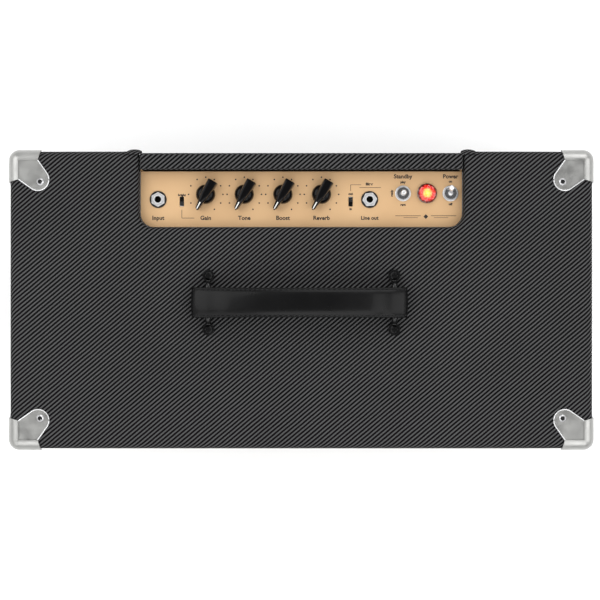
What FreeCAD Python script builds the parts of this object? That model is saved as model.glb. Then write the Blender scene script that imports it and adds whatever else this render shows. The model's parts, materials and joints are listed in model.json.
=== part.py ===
"""Valve guitar amplifier head with a recessed top control panel, as a parametric FreeCAD document.

Frame: +X to the player's right, +Y to the rear, +Z up, millimetres.
The origin is on the surface that the rubber feet stand on, at the middle of the cabinet.
"""

import FreeCAD, Part
import math
import os

import Sketcher

V = FreeCAD.Vector
doc = FreeCAD.newDocument("amp_head")
sheet = doc.addObject("Spreadsheet::Sheet", "dims")
nodes = []


# ---------------------------------------------------------------- sizes and expressions

class Size:
    """A length that keeps its number and the sheet expression that it comes from."""

    def __init__(self, number, text):
        self.number = float(number)
        self.text = text

    def __add__(self, other):
        return joined(self, "+", other)

    def __radd__(self, other):
        return joined(other, "+", self)

    def __sub__(self, other):
        return joined(self, "-", other)

    def __rsub__(self, other):
        return joined(other, "-", self)

    def __mul__(self, other):
        return joined(self, "*", other)

    def __rmul__(self, other):
        return joined(other, "*", self)

    def __truediv__(self, other):
        return joined(self, "/", other)

    def __neg__(self):
        return joined(-1, "*", self)


def as_size(thing):
    return thing if isinstance(thing, Size) else Size(thing, f"({float(thing)!r})")


def num(thing):
    return as_size(thing).number


def joined(left, sign, right):
    a, b = as_size(left), as_size(right)
    if sign == "+":
        number = a.number + b.number
    elif sign == "-":
        number = a.number - b.number
    elif sign == "*":
        number = a.number * b.number
    else:
        number = a.number / b.number
    return Size(number, f"({a.text} {sign} {b.text})")


def cell(alias, number, note):
    """One driving dimension: a plain number in the sheet, with an alias."""
    row = len(sheet.getUsedCells()) // 2 + 1
    sheet.set(f"A{row}", note)
    sheet.set(f"B{row}", str(number))
    sheet.setAlias(f"B{row}", alias)
    return Size(number, f"dims.{alias}")


# Cabinet
cab_w = cell("cab_w", 572, "cabinet width over the covering")
cab_d = cell("cab_d", 292, "cabinet depth over the covering")
cab_h = cell("cab_h", 238, "cabinet height over the covering, without feet")
foot_h = cell("foot_h", 14, "rubber foot height")
board_t = cell("board_t", 17, "cabinet board thickness")
cover_t = cell("cover_t", 1, "woven covering thickness")
edge_r = cell("edge_r", 9, "outer radius of the covered edges")
finger_n = cell("finger_n", 9, "fingers across a corner joint, both boards together")
# Notch in the top board for the controls
notch_w = cell("notch_w", 319, "width of the notch inside the covering")
notch_front = cell("notch_front", 71.2, "Y of the notch's front wall")
notch_r = cell("notch_r", 14, "radius of the notch's front corners")
tongue_bevel = cell("tongue_bevel", 2.6, "bevel of the upper panel's tongue")
notch_roll = cell("notch_roll", 5, "radius of the covering's roll into the notch")
lip_cut = cell("lip_cut", 3, "bevel of the covering inside the front and rear rims")
# Front and back
baffle_t = cell("baffle_t", 12, "baffle thickness")
baffle_inset = cell("baffle_inset", 12, "baffle face behind the cabinet's front edge")
window_w = cell("window_w", 450, "baffle window width")
window_h = cell("window_h", 116, "baffle window height")
cloth_t = cell("cloth_t", 0.8, "grille cloth thickness")
piping_r = cell("piping_r", 2.2, "grille piping radius")
cleat = cell("cleat", 18, "side of the square cleats")
panel_t = cell("panel_t", 16.5, "back panel thickness over its covering")
panel_inset = cell("panel_inset", 1.8, "back panel face inside the cabinet's rear edge")
panel_gap = cell("panel_gap", 0.8, "clearance round the back panels")
upper_low = cell("upper_low", 158, "lower edge of the upper back panel")
lower_high = cell("lower_high", 100, "upper edge of the lower back panel")
# Corners
corner_leg = cell("corner_leg", 30.2, "reach of a corner's rolled lip along an edge")
corner_c = cell("corner_c", 28, "tab centre from both edges")
corner_r = cell("corner_r", 10.8, "tab end radius")
leg_slant = cell("leg_slant", 2.4, "slant of a corner lip's end")
lip_t = cell("lip_t", 1.6, "height of a corner's rolled lip")
rim_t = cell("rim_t", 1.1, "height of the rim round a corner's tab")
rim_w = cell("rim_w", 1.2, "width of that rim")
tab_t = cell("tab_t", 0.6, "corner sheet thickness at the tab")
corner_screw = cell("corner_screw", 30.2, "corner screw from both edges")
# Handle
handle_y = cell("handle_y", -2.5, "Y of the handle")
rod_x = cell("rod_x", 91, "handle rod from the middle")
rod_r = cell("rod_r", 2.7, "handle rod radius")
rod_z = cell("rod_z", 10.2, "handle rod axis above the cabinet")
bracket_y = cell("bracket_y", 26.4, "handle screw from the handle's centre line")
strap_x = cell("strap_x", 106.5, "half length of the strap")
strap_shift = cell("strap_shift", -1.8, "X of the strap's middle, slid along its slots")
strap_w = cell("strap_w", 29.6, "strap width")
strap_rise = cell("strap_rise", 31, "crown of the strap above the cabinet")
# Chassis and control panel
chassis_x = cell("chassis_x", 245, "half length of the chassis")
chassis_front = cell("chassis_front", 40, "Y of the chassis's front wall")
chassis_rear = cell("chassis_rear", 127, "Y of the chassis's open side")
chassis_h = cell("chassis_h", 65, "chassis height")
sheet_t = cell("sheet_t", 1.5, "chassis sheet thickness")
plate_t = cell("plate_t", 1.6, "faceplate thickness")
plate_gap = cell("plate_gap", 0.8, "clearance round the faceplate")
knob_x = cell("knob_x", -94.4, "X of the first knob")
knob_pitch = cell("knob_pitch", 38.1, "distance between knobs")
knob_y = cell("knob_y", 104.3, "Y of the knobs")
jack_y = cell("jack_y", 99.2, "Y of the panel jacks")
input_x = cell("input_x", -141.4, "X of the input jack")
line_x = cell("line_x", 67.5, "X of the line output jack")
bright_x = cell("bright_x", -118, "X of the bright switch")
filter_x = cell("filter_x", 48.7, "X of the filter switch")
slide_y = cell("slide_y", 97.2, "Y of the slide switches")
toggle_y = cell("toggle_y", 105.3, "Y of the toggle switches")
standby_x = cell("standby_x", 100.4, "X of the standby switch")
power_x = cell("power_x", 147.3, "X of the power switch")
pilot_x = cell("pilot_x", 124.2, "X of the pilot lamp")
thread_r = cell("thread_r", 4.7, "radius of the pot and jack bushings")
nut_af = cell("nut_af", 12.7, "pot and jack nut across flats")
nut_t = cell("nut_t", 2.4, "pot and jack nut thickness")
plug_r = cell("plug_r", 3.25, "bore radius of a jack socket")
shaft_r = cell("shaft_r", 3.15, "pot shaft radius")
run_gap = cell("run_gap", 0.1, "radial clearance of running fits")
lever_len = cell("lever_len", 17.5, "toggle lever from its pivot to its tip")
lever_tilt = cell("lever_tilt", 17.3, "toggle lever throw each way, degrees")
ball_r = cell("ball_r", 3.1, "radius of the toggle levers' balls")
lever_rise = cell("lever_rise", 3, "toggle pivot above the faceplate")
slot_w = cell("slot_w", 4.2, "slide switch slot width")
slot_len = cell("slot_len", 9.6, "slide switch slot length")
slider_len = cell("slider_len", 4.6, "slide switch button length")
# Under the chassis
valve_y = cell("valve_y", 75, "Y of the valves")
preamp_x = cell("preamp_x", -215, "X of the first preamp valve")
preamp_pitch = cell("preamp_pitch", 45, "distance between preamp valves")
power_valve_x = cell("power_valve_x", -70, "X of the first power valve")
power_valve_pitch = cell("power_valve_pitch", 55, "distance between power valves")
rear_jack_x = cell("rear_jack_x", -150, "X of the first jack under the chassis")
rear_jack_pitch = cell("rear_jack_pitch", 54, "distance between the jacks under the chassis")
rear_jack_y = cell("rear_jack_y", 112, "Y of the jacks under the chassis")
inlet_x = cell("inlet_x", 48, "X of the mains inlet and fuse")
inlet_y = cell("inlet_y", 103, "Y of the mains inlet")
fuse_y = cell("fuse_y", 62, "Y of the fuse holder")
ot_x = cell("ot_x", 110, "X of the output transformer")
pt_x = cell("pt_x", 195, "X of the power transformer")
iron_y = cell("iron_y", 84, "Y of the transformers")
# Reverb tank
tank_x = cell("tank_x", 212, "half length of the reverb tank")
tank_y = cell("tank_y", -10, "Y of the reverb tank's middle")
tank_w = cell("tank_w", 110, "reverb tank width")
tank_h = cell("tank_h", 32, "reverb tank height")
doc.recompute()

wall = board_t + cover_t
half_w = cab_w / 2
half_d = cab_d / 2
top = foot_h + cab_h
in_w = half_w - wall
in_low = foot_h + wall
in_top = top - wall
face = in_top + plate_t
chassis_low = in_top - chassis_h
flange_z = chassis_low + sheet_t
panel_rear = half_d - panel_inset
panel_front = panel_rear - panel_t
knob_places = [knob_x + knob_pitch * i for i in range(4)]
preamp_places = [preamp_x + preamp_pitch * i for i in range(3)]
power_valve_places = [power_valve_x + power_valve_pitch * i for i in range(2)]
rear_jack_places = [rear_jack_x + rear_jack_pitch * i for i in range(3)]


# ---------------------------------------------------------------- document helpers

def bind(thing, name, size):
    thing.setExpression(name, as_size(size).text)


def place(thing, x, y, z):
    for letter, size in zip("xyz", (x, y, z)):
        bind(thing, "Placement.Base." + letter, size)
    return thing


def keep(thing, label):
    """Names a finished sub-part, so that it is written to parts/LABEL.step."""
    thing.Label = label
    nodes.append(thing)
    return thing


def box(name, low, sides):
    made = doc.addObject("Part::Box", name)
    for prop, size in zip(("Length", "Width", "Height"), sides):
        bind(made, prop, size)
    return place(made, *low)


def cylinder(name, foot, radius, length, along=V(0, 0, 1)):
    made = doc.addObject("Part::Cylinder", name)
    bind(made, "Radius", radius)
    bind(made, "Height", length)
    made.Placement.Rotation = FreeCAD.Rotation(V(0, 0, 1), along)
    return place(made, *foot)


def prism(name, foot, across, length):
    """A hexagonal prism of that width across its flats, standing on foot."""
    made = doc.addObject("Part::Prism", name)
    made.Polygon = 6
    bind(made, "Circumradius", across / math.sqrt(3))
    bind(made, "Height", length)
    return place(made, *foot)


def cut(name, base, tool):
    made = doc.addObject("Part::Cut", name)
    made.Base, made.Tool = base, tool
    return made


def common(name, base, tool):
    made = doc.addObject("Part::Common", name)
    made.Base, made.Tool = base, tool
    return made


def fuse(name, *shapes):
    made = doc.addObject("Part::MultiFuse", name)
    made.Shapes = list(shapes)
    return made


def together(name, *parts):
    """Separate solids kept as one node."""
    made = doc.addObject("Part::Compound", name)
    made.Links = list(parts)
    return made


def feature(name, shape):
    made = doc.addObject("Part::Feature", name)
    made.Shape = shape
    return made


def body(name):
    return doc.addObject("PartDesign::Body", name)


def sketch(owner, plane, offset=0):
    """A sketch on one of its body's origin planes, moved along that plane's normal."""
    made = owner.newObject("Sketcher::SketchObject", owner.Name + "_sketch")
    support = [f for f in owner.Origin.OriginFeatures if f.Role == plane + "_Plane"][0]
    made.AttachmentSupport = [(support, "")]
    made.MapMode = "FlatFace"
    bind(made, "AttachmentOffset.Base.z", offset)
    return made


def pin(drawn, edge, end, x, y):
    """Holds one point of a sketch at x, y from the sketch's origin."""
    for kind, size in (("DistanceX", x), ("DistanceY", y)):
        index = drawn.addConstraint(Sketcher.Constraint(kind, -1, 1, edge, end, num(size)))
        bind(drawn, f"Constraints[{index}]", size)


def polygon(drawn, points):
    first = drawn.GeometryCount
    flat = [V(num(x), num(y), 0) for x, y in points]
    for start, end in zip(flat, flat[1:] + flat[:1]):
        drawn.addGeometry(Part.LineSegment(start, end))
    for i in range(len(flat)):
        following = first + (i + 1) % len(flat)
        drawn.addConstraint(Sketcher.Constraint("Coincident", first + i, 2, following, 1))
    for i, (x, y) in enumerate(points):
        pin(drawn, first + i, 1, x, y)
    return drawn


def rectangle(drawn, left, low, right, high):
    return polygon(drawn, [(left, low), (right, low), (right, high), (left, high)])


def circle(drawn, x, y, radius):
    edge = drawn.addGeometry(Part.Circle(V(num(x), num(y), 0), V(0, 0, 1), num(radius)))
    pin(drawn, edge, 3, x, y)
    index = drawn.addConstraint(Sketcher.Constraint("Radius", edge, num(radius)))
    bind(drawn, f"Constraints[{index}]", radius)
    return drawn


def pad(owner, drawn, length):
    made = owner.newObject("PartDesign::Pad", owner.Name + "_pad")
    made.Profile = drawn
    bind(made, "Length", length)
    return made


def pocket(owner, drawn, length, reverse=False):
    """Cuts a sketch's outlines into its body; it must remove something."""
    doc.recompute()
    before = owner.Shape.Volume
    made = owner.newObject("PartDesign::Pocket", owner.Name + "_pocket")
    made.Profile = drawn
    made.Reversed = reverse
    bind(made, "Length", length)
    doc.recompute()
    if owner.Shape.Volume > before - 1e-6:
        raise ValueError(f"{made.Name} cuts nothing")
    return made


def revolve(owner, drawn):
    made = owner.newObject("PartDesign::Revolution", owner.Name + "_revolution")
    made.Profile = drawn
    made.ReferenceAxis = (drawn, ["V_Axis"])
    made.Angle = 360
    return made


def turned(name, profile, x=0, y=0, z=0):
    """A body turned about its own Z axis from a profile of (radius, height) points."""
    made = body(name)
    revolve(made, polygon(sketch(made, "XZ"), profile))
    return place(made, x, y, z)


def fillet(owner, radius, wanted):
    """Rounds the edges of a body's last feature whose middle point passes a test."""
    doc.recompute()
    tip = owner.Tip
    names = [
        f"Edge{i + 1}"
        for i, edge in enumerate(tip.Shape.Edges)
        if wanted(edge.valueAt((edge.FirstParameter + edge.LastParameter) / 2))
    ]
    made = owner.newObject("PartDesign::Fillet", owner.Name + "_fillet")
    made.Base = (tip, names)
    bind(made, "Radius", radius)
    return made


def block(name, low, sides, radius):
    """A box with all its edges rounded."""
    made = body(name)
    drawn = rectangle(sketch(made, "XY"), 0, 0, sides[0], sides[1])
    pad(made, drawn, sides[2])
    fillet(made, radius, lambda point: True)
    return place(made, *low)


def copies(source, places):
    """Copies of an object's shape at (position, direction of its +Z) places, as one compound."""
    doc.recompute()
    made = []
    for position, direction in places:
        shape = source.Shape.copy()
        turn = FreeCAD.Rotation(V(0, 0, 1), direction)
        shape.Placement = FreeCAD.Placement(position, turn).multiply(source.Shape.Placement)
        made.append(shape)
    return Part.makeCompound(made)


def rounded_path(points, radius):
    """Straight runs through the points, joined by tangent arcs of one radius."""
    edges, start = [], points[0]
    for before, point, after in zip(points, points[1:], points[2:]):
        back_way, on_way = (before - point).normalize(), (after - point).normalize()
        half_turn = (math.pi - back_way.getAngle(on_way)) / 2
        back_off = radius * math.tan(half_turn)
        first, last = point + back_way * back_off, point + on_way * back_off
        centre_way = (back_way + on_way).normalize()
        middle = point + centre_way * (radius / math.cos(half_turn) - radius)
        edges += [Part.LineSegment(start, first).toShape(), Part.Arc(first, middle, last).toShape()]
        start = last
    return Part.Wire(edges + [Part.LineSegment(start, points[-1]).toShape()])


UP, DOWN = V(0, 0, 1), V(0, 0, -1)


# ---------------------------------------------------------------- cabinet boards and covering

def notch_tool(name, grow):
    """What is taken out of the top for the controls, with round front corners."""
    made = body(name)
    left, right = -notch_w / 2 - grow, notch_w / 2 + grow
    drawn = rectangle(sketch(made, "XY"), left, notch_front - grow, right, half_d + wall)
    pad(made, drawn, wall + 6)
    front = num(notch_front - grow)
    side = num(right)
    fillet(made, notch_r + grow, lambda p: abs(p.y - front) < 0.1 and abs(abs(p.x) - side) < 0.1)
    return place(made, 0, 0, in_top - 2)


def rolled(name, notched, grow):
    """Rounds the rim of the notch, where the covering rolls down into it."""
    doc.recompute()
    high = num(top - grow)
    reach = num(notch_w / 2 + grow) + 0.1
    front = num(notch_front - grow) - 0.1
    made = doc.addObject("Part::Fillet", name)
    made.Base = notched
    rims = []
    for i, edge in enumerate(notched.Shape.Edges):
        p = edge.valueAt((edge.FirstParameter + edge.LastParameter) / 2)
        if abs(p.z - high) < 0.01 and abs(p.x) < reach and p.y > front:
            rims.append((i + 1, num(notch_roll - grow), num(notch_roll - grow)))
    made.Edges = rims
    return made


def rim_bevels(name, inner):
    """Tapered blocks that bevel the inside of the front and rear rims; inner is their inset."""
    made = []
    reach = wall + 2 - inner
    for end, sign in (("front", -1), ("rear", 1)):
        wedge = doc.addObject("Part::Wedge", f"{name}_{end}")
        wide, narrow = half_w - inner, half_w - wall - 2
        low, high = foot_h + inner, foot_h + wall + 2
        outer_y, inner_y = sign * half_d, sign * half_d - sign * reach
        near, far = (outer_y, inner_y) if sign < 0 else (inner_y, outer_y)
        outer = (-wide, wide, low, top - inner)
        inside = (-narrow, narrow, high, top - wall - 2)
        first, last = (outer, inside) if sign < 0 else (inside, outer)
        bind(wedge, "Ymin", near)
        bind(wedge, "Ymax", far)
        for prop, size in zip(("Xmin", "Xmax", "Zmin", "Zmax"), first):
            bind(wedge, prop, size)
        for prop, size in zip(("X2min", "X2max", "Z2min", "Z2max"), last):
            bind(wedge, prop, size)
        made.append(wedge)
    return made


def cabinet():
    """Four finger-jointed boards and the woven covering glued round them."""
    low = (-half_w + cover_t, -half_d + cover_t, foot_h + cover_t)
    sides = (cab_w - 2 * cover_t, cab_d - 2 * cover_t, cab_h - 2 * cover_t)
    wood = block("wood_blank", low, sides, edge_r - cover_t)
    skin = block("skin_blank", (-half_w, -half_d, foot_h), (cab_w, cab_d, cab_h), edge_r)
    inside = (2 * in_w, cab_d, in_top - in_low)
    cavity = box("cavity", (-in_w, -half_d, in_low), inside)
    sharp = cut("notched_wood", wood, notch_tool("notch_in_wood", cover_t))
    notched = rolled("rolled_wood", sharp, cover_t)
    wood_bevels = fuse("wood_cavity", cavity, *rim_bevels("wood_bevel", wall - lip_cut - cover_t))
    frame = cut("board_frame", notched, wood_bevels)

    finger = (cab_d - 2 * cover_t) / finger_n
    zones = {}
    for name, z in (("top", in_top), ("bottom", foot_h)):
        slots = []
        for i in range(1, int(finger_n.number), 2):
            for side, x in (("left", -half_w), ("right", in_w)):
                y = -half_d + cover_t + finger * i
                slots.append(box(f"{name}_{side}_slot_{i}", (x, y, z), (wall, finger, wall)))
        slab = box(f"{name}_slab", (-half_w, -half_d, z), (cab_w, cab_d, wall))
        zones[name] = cut(f"{name}_zone", slab, fuse(f"{name}_slots", *slots))
        keep(common(f"{name}_board_cut", frame, zones[name]), f"{name}_board")
    for side, x in (("left", -half_w), ("right", in_w)):
        slab = box(f"{side}_slab", (x, -half_d, foot_h), (wall, cab_d, cab_h))
        zone = cut(f"{side}_zone", cut(f"{side}_part_zone", slab, zones["top"]), zones["bottom"])
        keep(common(f"{side}_board_cut", frame, zone), f"side_board_{side}")

    sharp_skin = cut("notched_skin", skin, notch_tool("notch_in_skin", 0))
    open_skin = rolled("rolled_skin", sharp_skin, 0)
    skin_bevels = fuse("skin_cavity", cavity, *rim_bevels("skin_bevel", wall - lip_cut))
    open_sleeve = cut("open_sleeve", open_skin, skin_bevels)
    keep(cut("covering_cut", open_sleeve, frame), "cabinet_covering")


def cleats():
    """Square battens glued to the sides, which the baffle and the back panels screw to."""
    front_y = -half_d + baffle_inset + baffle_t
    made = []
    for side, x in (("left", -in_w), ("right", in_w - cleat)):
        for end, y in (("front", front_y), ("rear", panel_front - cleat)):
            made.append(box(f"{side}_{end}_cleat", (x, y, in_low), (cleat, cleat, in_top - in_low)))
    keep(together("cleat_set", *made), "cabinet_cleats")


# ---------------------------------------------------------------- front and back

def front():
    """Baffle with a vent window, the cloth stretched over it and the piping round its edge."""
    gap = 0.5
    baffle_y = -half_d + baffle_inset
    low_z, high_z = in_low + gap, in_top - gap
    half_x = in_w - gap
    mid_z = (in_low + in_top) / 2
    baffle = body("baffle")
    drawn = rectangle(sketch(baffle, "XZ", -baffle_y - baffle_t), -half_x, low_z, half_x, high_z)
    pad(baffle, drawn, baffle_t)
    left, right = -window_w / 2, window_w / 2
    low, high = mid_z - window_h / 2, mid_z + window_h / 2
    window = rectangle(sketch(baffle, "XZ", -baffle_y - baffle_t), left, low, right, high)
    pocket(baffle, window, baffle_t, reverse=True)
    keep(baffle, "front_baffle")

    cloth_sides = (2 * half_x, cloth_t, high_z - low_z)
    keep(box("cloth", (-half_x, baffle_y - cloth_t, low_z), cloth_sides), "grille_cloth")

    bead, bend = num(piping_r), 7
    x, z0, z1 = num(half_x) - bead, num(low_z) + bead, num(high_z) - bead
    y = num(baffle_y - cloth_t) - bead
    outline = [V(0, y, z0), V(x, y, z0), V(x, y, z1), V(-x, y, z1), V(-x, y, z0), V(0, y, z0)]
    ring = Part.Wire(Part.makeCircle(bead, outline[0], V(1, 0, 0)))
    cord = rounded_path(outline, bend).makePipeShell([ring], True, False)
    keep(feature("piping", cord), "grille_piping")


def upper_outline(shrink):
    """Outline of the upper back panel, whose tongue fills the notch's rear."""
    wide, narrow = in_w - panel_gap - shrink, notch_w / 2 - panel_gap - shrink
    low, step, high = upper_low + shrink, in_top - panel_gap - shrink, top - shrink - 0.4
    return [
        (-wide, low), (wide, low), (wide, step), (narrow, step),
        (narrow, high), (-narrow, high), (-narrow, step), (-wide, step),
    ]


def lower_outline(shrink):
    wide = in_w - panel_gap - shrink
    low, high = in_low + panel_gap + shrink, lower_high - shrink
    return [(-wide, low), (wide, low), (wide, high), (-wide, high)]


def bevel_tongue(board):
    """Bevels the tongue's front top edge, where the covering rolls over it."""
    doc.recompute()
    solid = board.Tip
    high, front = num(top - cover_t) - 0.4, num(panel_front)
    wanted = [
        f"Edge{i + 1}" for i, edge in enumerate(solid.Shape.Edges)
        if all(abs(v.Z - high) < 0.1 and abs(v.Y - front) < 0.1 for v in edge.Vertexes)
    ]
    made = board.newObject("PartDesign::Chamfer", "tongue_bevel")
    made.Base = (solid, wanted)
    bind(made, "Size", tongue_bevel)


def back():
    """Two screwed back panels, covered on the outside and round their edges."""
    covers = []
    for name, outline in (("upper", upper_outline), ("lower", lower_outline)):
        whole = body(f"{name}_panel_whole")
        pad(whole, polygon(sketch(whole, "XZ", -panel_rear), outline(0)), panel_t)
        board = body(f"{name}_panel_board")
        drawn = polygon(sketch(board, "XZ", -panel_rear + cover_t), outline(cover_t))
        pad(board, drawn, panel_t - cover_t)
        if name == "upper":
            bevel_tongue(board)
        covers.append(cut(f"{name}_panel_cover", whole, board))
        keep(board, f"{name}_back_panel")
    keep(together("panel_covers", *covers), "back_panel_coverings")


# ---------------------------------------------------------------- screws, feet and corners

def screw(name, head_r, head_h, shank_r, shank_len):
    """A raised-head screw along +Z, its head's seat at Z 0, with a cross recess."""
    made = turned(name, [
        (0, -shank_len), (shank_r * 0.4, -shank_len), (shank_r, -shank_len + 2 * shank_r),
        (shank_r, 0), (head_r, 0), (head_r, head_h * 0.3), (head_r * 0.6, head_h), (0, head_h),
    ])
    arm, half = head_r * 0.55, head_r * 0.13
    drawn = polygon(sketch(made, "XY", head_h), [
        (arm, half), (half, half), (half, arm), (-half, arm), (-half, half), (-arm, half),
        (-arm, -half), (-half, -half), (-half, -arm), (half, -arm), (half, -half), (arm, -half),
    ])
    pocket(made, drawn, head_h * 0.6)
    return made


def octants(high):
    """Signs of X and Y of the four cabinet corners, with the Z of their face and its sign."""
    z, sign = (num(top), 1) if high else (num(foot_h), -1)
    return [(x, y, z, sign) for x in (-1, 1) for y in (-1, 1)]


def corner_shell(thickness):
    """The cabinet's corner at the origin, in the +X +Y +Z octant, grown by a sheet."""
    reach, t, r = 60.0, num(thickness), num(edge_r)

    def grown(step):
        solid = Part.makeBox(reach + step, reach + step, reach + step, V(-step, -step, -step))
        edges = [
            edge for edge in solid.Edges
            if sum(abs(c + step) < 1e-6 for c in edge.CenterOfMass) == 2
        ]
        return solid.makeFillet(r + step, edges)

    return grown(t).cut(grown(0))


def tab_prism(shrink=0.0):
    """The tab's outline on the face Z 0: the lip's ends run in tangents to a round end."""
    leg = num(corner_leg - leg_slant) - shrink
    lip, c, r = num(edge_r), num(corner_c), num(corner_r) - shrink
    reach = math.hypot(leg - c, lip - c)
    turn = math.atan2(lip - c, leg - c) + math.acos(r / reach)
    touch = (c + r * math.cos(turn), c + r * math.sin(turn))
    outline = [(0, 0), (leg, 0), (leg, lip), touch, touch[::-1], (lip, leg), (0, leg)]
    wire = Part.makePolygon([V(x, y, -4) for x, y in outline + outline[:1]])
    slab = Part.Face(wire).extrude(V(0, 0, 4 + lip))
    return slab.fuse(Part.makeCylinder(r, 4 + lip, V(c, c, -4)))


def on_both_faces(solid):
    """A solid over the top face, with its copy turned on to the side face."""
    side = solid.copy()
    side.rotate(V(), V(1, 1, 1), 120)
    return solid.fuse(side)


def corner_piece():
    """One pressed metal corner: lips rolled over three edges, and rimmed tabs on two faces."""
    leg, slant, lip = num(corner_leg), num(leg_slant), num(edge_r)
    far = leg + slant * 4 / lip
    outline = [(-4, -4), (far, -4), (leg - slant, lip), (lip, lip), (lip, leg - slant), (-4, far)]
    wire = Part.makePolygon([V(x, y, -4) for x, y in outline + outline[:1]])
    plate = Part.Face(wire).extrude(V(0, 0, 4 + lip))
    upright = Part.makeBox(lip + 4, lip + 4, leg + 4, V(-4, -4, -4))
    lips = plate.fuse(upright)
    rim = tab_prism().cut(tab_prism(num(rim_w)))
    made = corner_shell(lip_t).common(lips)
    made = made.fuse(corner_shell(rim_t).common(on_both_faces(rim)))
    made = made.fuse(corner_shell(tab_t).common(on_both_faces(tab_prism()))).removeSplitter()
    hole = num(corner_screw)
    made = made.cut(Part.makeCylinder(2, 8, V(hole, hole, -4)))
    return made.cut(Part.makeCylinder(2, 8, V(-4, hole, hole), V(1, 0, 0)))


def corners():
    piece = corner_piece()
    for label, high in (("top_corners", True), ("bottom_corners", False)):
        made = []
        for x, y, z, sign in octants(high):
            matrix = FreeCAD.Matrix()
            matrix.scale(-x, -y, -sign)
            matrix.move(V(x * num(half_w), y * num(half_d), z))
            made.append(piece.transformGeometry(matrix))
        keep(feature(label, Part.makeCompound(made)), label)

    source = screw("corner_screw_source", 3.7, 1.7, 1.6, 12)
    inset, sheet_z = num(corner_screw), num(tab_t)
    places = []
    for high in (True, False):
        for x, y, z, sign in octants(high):
            rim_x, rim_y = x * num(half_w), y * num(half_d)
            on_face = V(rim_x - x * inset, rim_y - y * inset, z + sign * sheet_z)
            on_side = V(rim_x + x * sheet_z, rim_y - y * inset, z - sign * inset)
            places += [(on_face, V(0, 0, sign)), (on_side, V(x, 0, 0))]
    keep(feature("corner_screw_set", copies(source, places)), "corner_screws")


def feet():
    """Four turned rubber feet, each on one screw in its recess."""
    foot = turned("foot_source", [
        (2.6, foot_h), (19, foot_h), (19, foot_h - 4), (16.6, 1.4), (15.2, 0),
        (7.5, 0), (7.5, 8), (2.6, 8),
    ])
    fixing = screw("foot_screw_source", 5.5, 3, 2.4, 19)
    spots = [V(x * 225, y * 98, 0) for x in (-1, 1) for y in (-1, 1)]
    keep(feature("foot_set", copies(foot, [(spot, UP) for spot in spots])), "rubber_feet")
    seats = [(spot + V(0, 0, 8), DOWN) for spot in spots]
    keep(feature("foot_screw_set", copies(fixing, seats)), "foot_screws")


def panel_screws():
    """Screws of the two back panels, from outside, and of the baffle, from inside."""
    source = screw("panel_screw_source", 4, 2, 1.9, 24)
    x = num(in_w - cleat / 2)
    rear = num(panel_rear)
    behind = num(-half_d + baffle_inset + baffle_t + cleat)
    places = []
    for side in (-1, 1):
        for z in (48, 86, 172, 218):
            places.append((V(side * x, rear, z), V(0, 1, 0)))
        for z in (60, 206):
            places.append((V(side * x, behind, z), V(0, 1, 0)))
    keep(feature("panel_screw_set", copies(source, places)), "panel_screws")


# ---------------------------------------------------------------- handle

def brackets():
    """Two black bridges: a bent rod between two flattened, drilled feet."""
    y, z, r, base = num(bracket_y), num(rod_z), num(rod_r), num(top)
    inner = num(strap_w) / 2 + 2.6
    head_room = 4.7
    points = [V(0, -y + head_room, r), V(0, -inner - 1.5, r), V(0, -inner, z)]
    points += [V(0, -p.y, p.z) for p in reversed(points)]
    path = rounded_path(points, 3.3)
    ring = Part.Wire(Part.makeCircle(r, points[0], V(0, 1, 0)))
    rod = path.makePipeShell([ring], True, False)
    for side in (-1, 1):
        rod = rod.fuse(Part.makeCylinder(5.8, 2.2, V(0, side * y, 0)))
    for side in (-1, 1):
        rod = rod.cut(Part.makeCylinder(2.3, 12, V(0, side * y, -4)))
    rod = rod.cut(Part.makeBox(40, 80, 8, V(-20, -40, -8)))
    made = []
    for side in (-1, 1):
        copy = rod.copy()
        copy.translate(V(side * num(rod_x), num(handle_y), base))
        made.append(copy)
    keep(feature("bracket_set", Part.makeCompound(made)), "handle_brackets")

    source = screw("handle_screw_source", 4.4, 2.6, 2.1, 16)
    places = []
    for side in (-1, 1):
        for end in (-1, 1):
            spot = V(side * num(rod_x), num(handle_y) + end * y, base + 2.2)
            places.append((spot, UP))
    keep(feature("handle_screw_set", copies(source, places)), "handle_screws")


def strap():
    """Leather strap: an arch between two end pads, each with an upright slot for its rod."""
    end, rod, crown = num(strap_x), num(rod_x), num(strap_rise)
    right = [(end, 4), (end - 2.6, 11.5), (end - 9, 16.4), (rod - 7, 19.4), (66, 24.8), (36, 29.3)]
    over = [(-x, z) for x, z in right] + [(0, crown)] + right[::-1]
    pad_x = rod - 12
    under_right = [(pad_x - 4, 16), (62, 18.2), (34, 23.2)]
    under = under_right + [(0, crown - 6)] + [(-x, z) for x, z in under_right[::-1]]
    upper, lower = Part.BSplineCurve(), Part.BSplineCurve()
    upper.interpolate([V(x, 0, z) for x, z in over])
    lower.interpolate([V(x, 0, z) for x, z in under])
    floor = 0.5
    path = [
        [under[-1], (-pad_x, 13), (-pad_x, floor), (-end + 1.5, floor), over[0]],
        [over[-1], (end - 1.5, floor), (pad_x, floor), (pad_x, 13), under[0]],
    ]
    edges = [upper.toShape(), lower.toShape()]
    for run in path:
        corners_3d = [V(x, 0, z) for x, z in run]
        edges += [Part.LineSegment(a, b).toShape() for a, b in zip(corners_3d, corners_3d[1:])]
    profile = Part.Face(Part.Wire(Part.__sortEdges__(edges)))
    profile.translate(V(0, -num(strap_w) / 2, 0))
    solid = profile.extrude(V(0, num(strap_w), 0))
    low, high, half = 2.5, num(rod_z + rod_r) + 0.5, num(rod_r) + 0.5
    for side in (-1, 1):
        middle = side * rod - num(strap_shift)
        solid = solid.cut(Part.makeBox(2 * half, 60, high - low, V(middle - half, -30, low)))
    solid.translate(V(num(strap_shift), num(handle_y), num(top)))
    keep(feature("strap", solid), "handle_strap")


# ---------------------------------------------------------------- chassis and control panel

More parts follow.
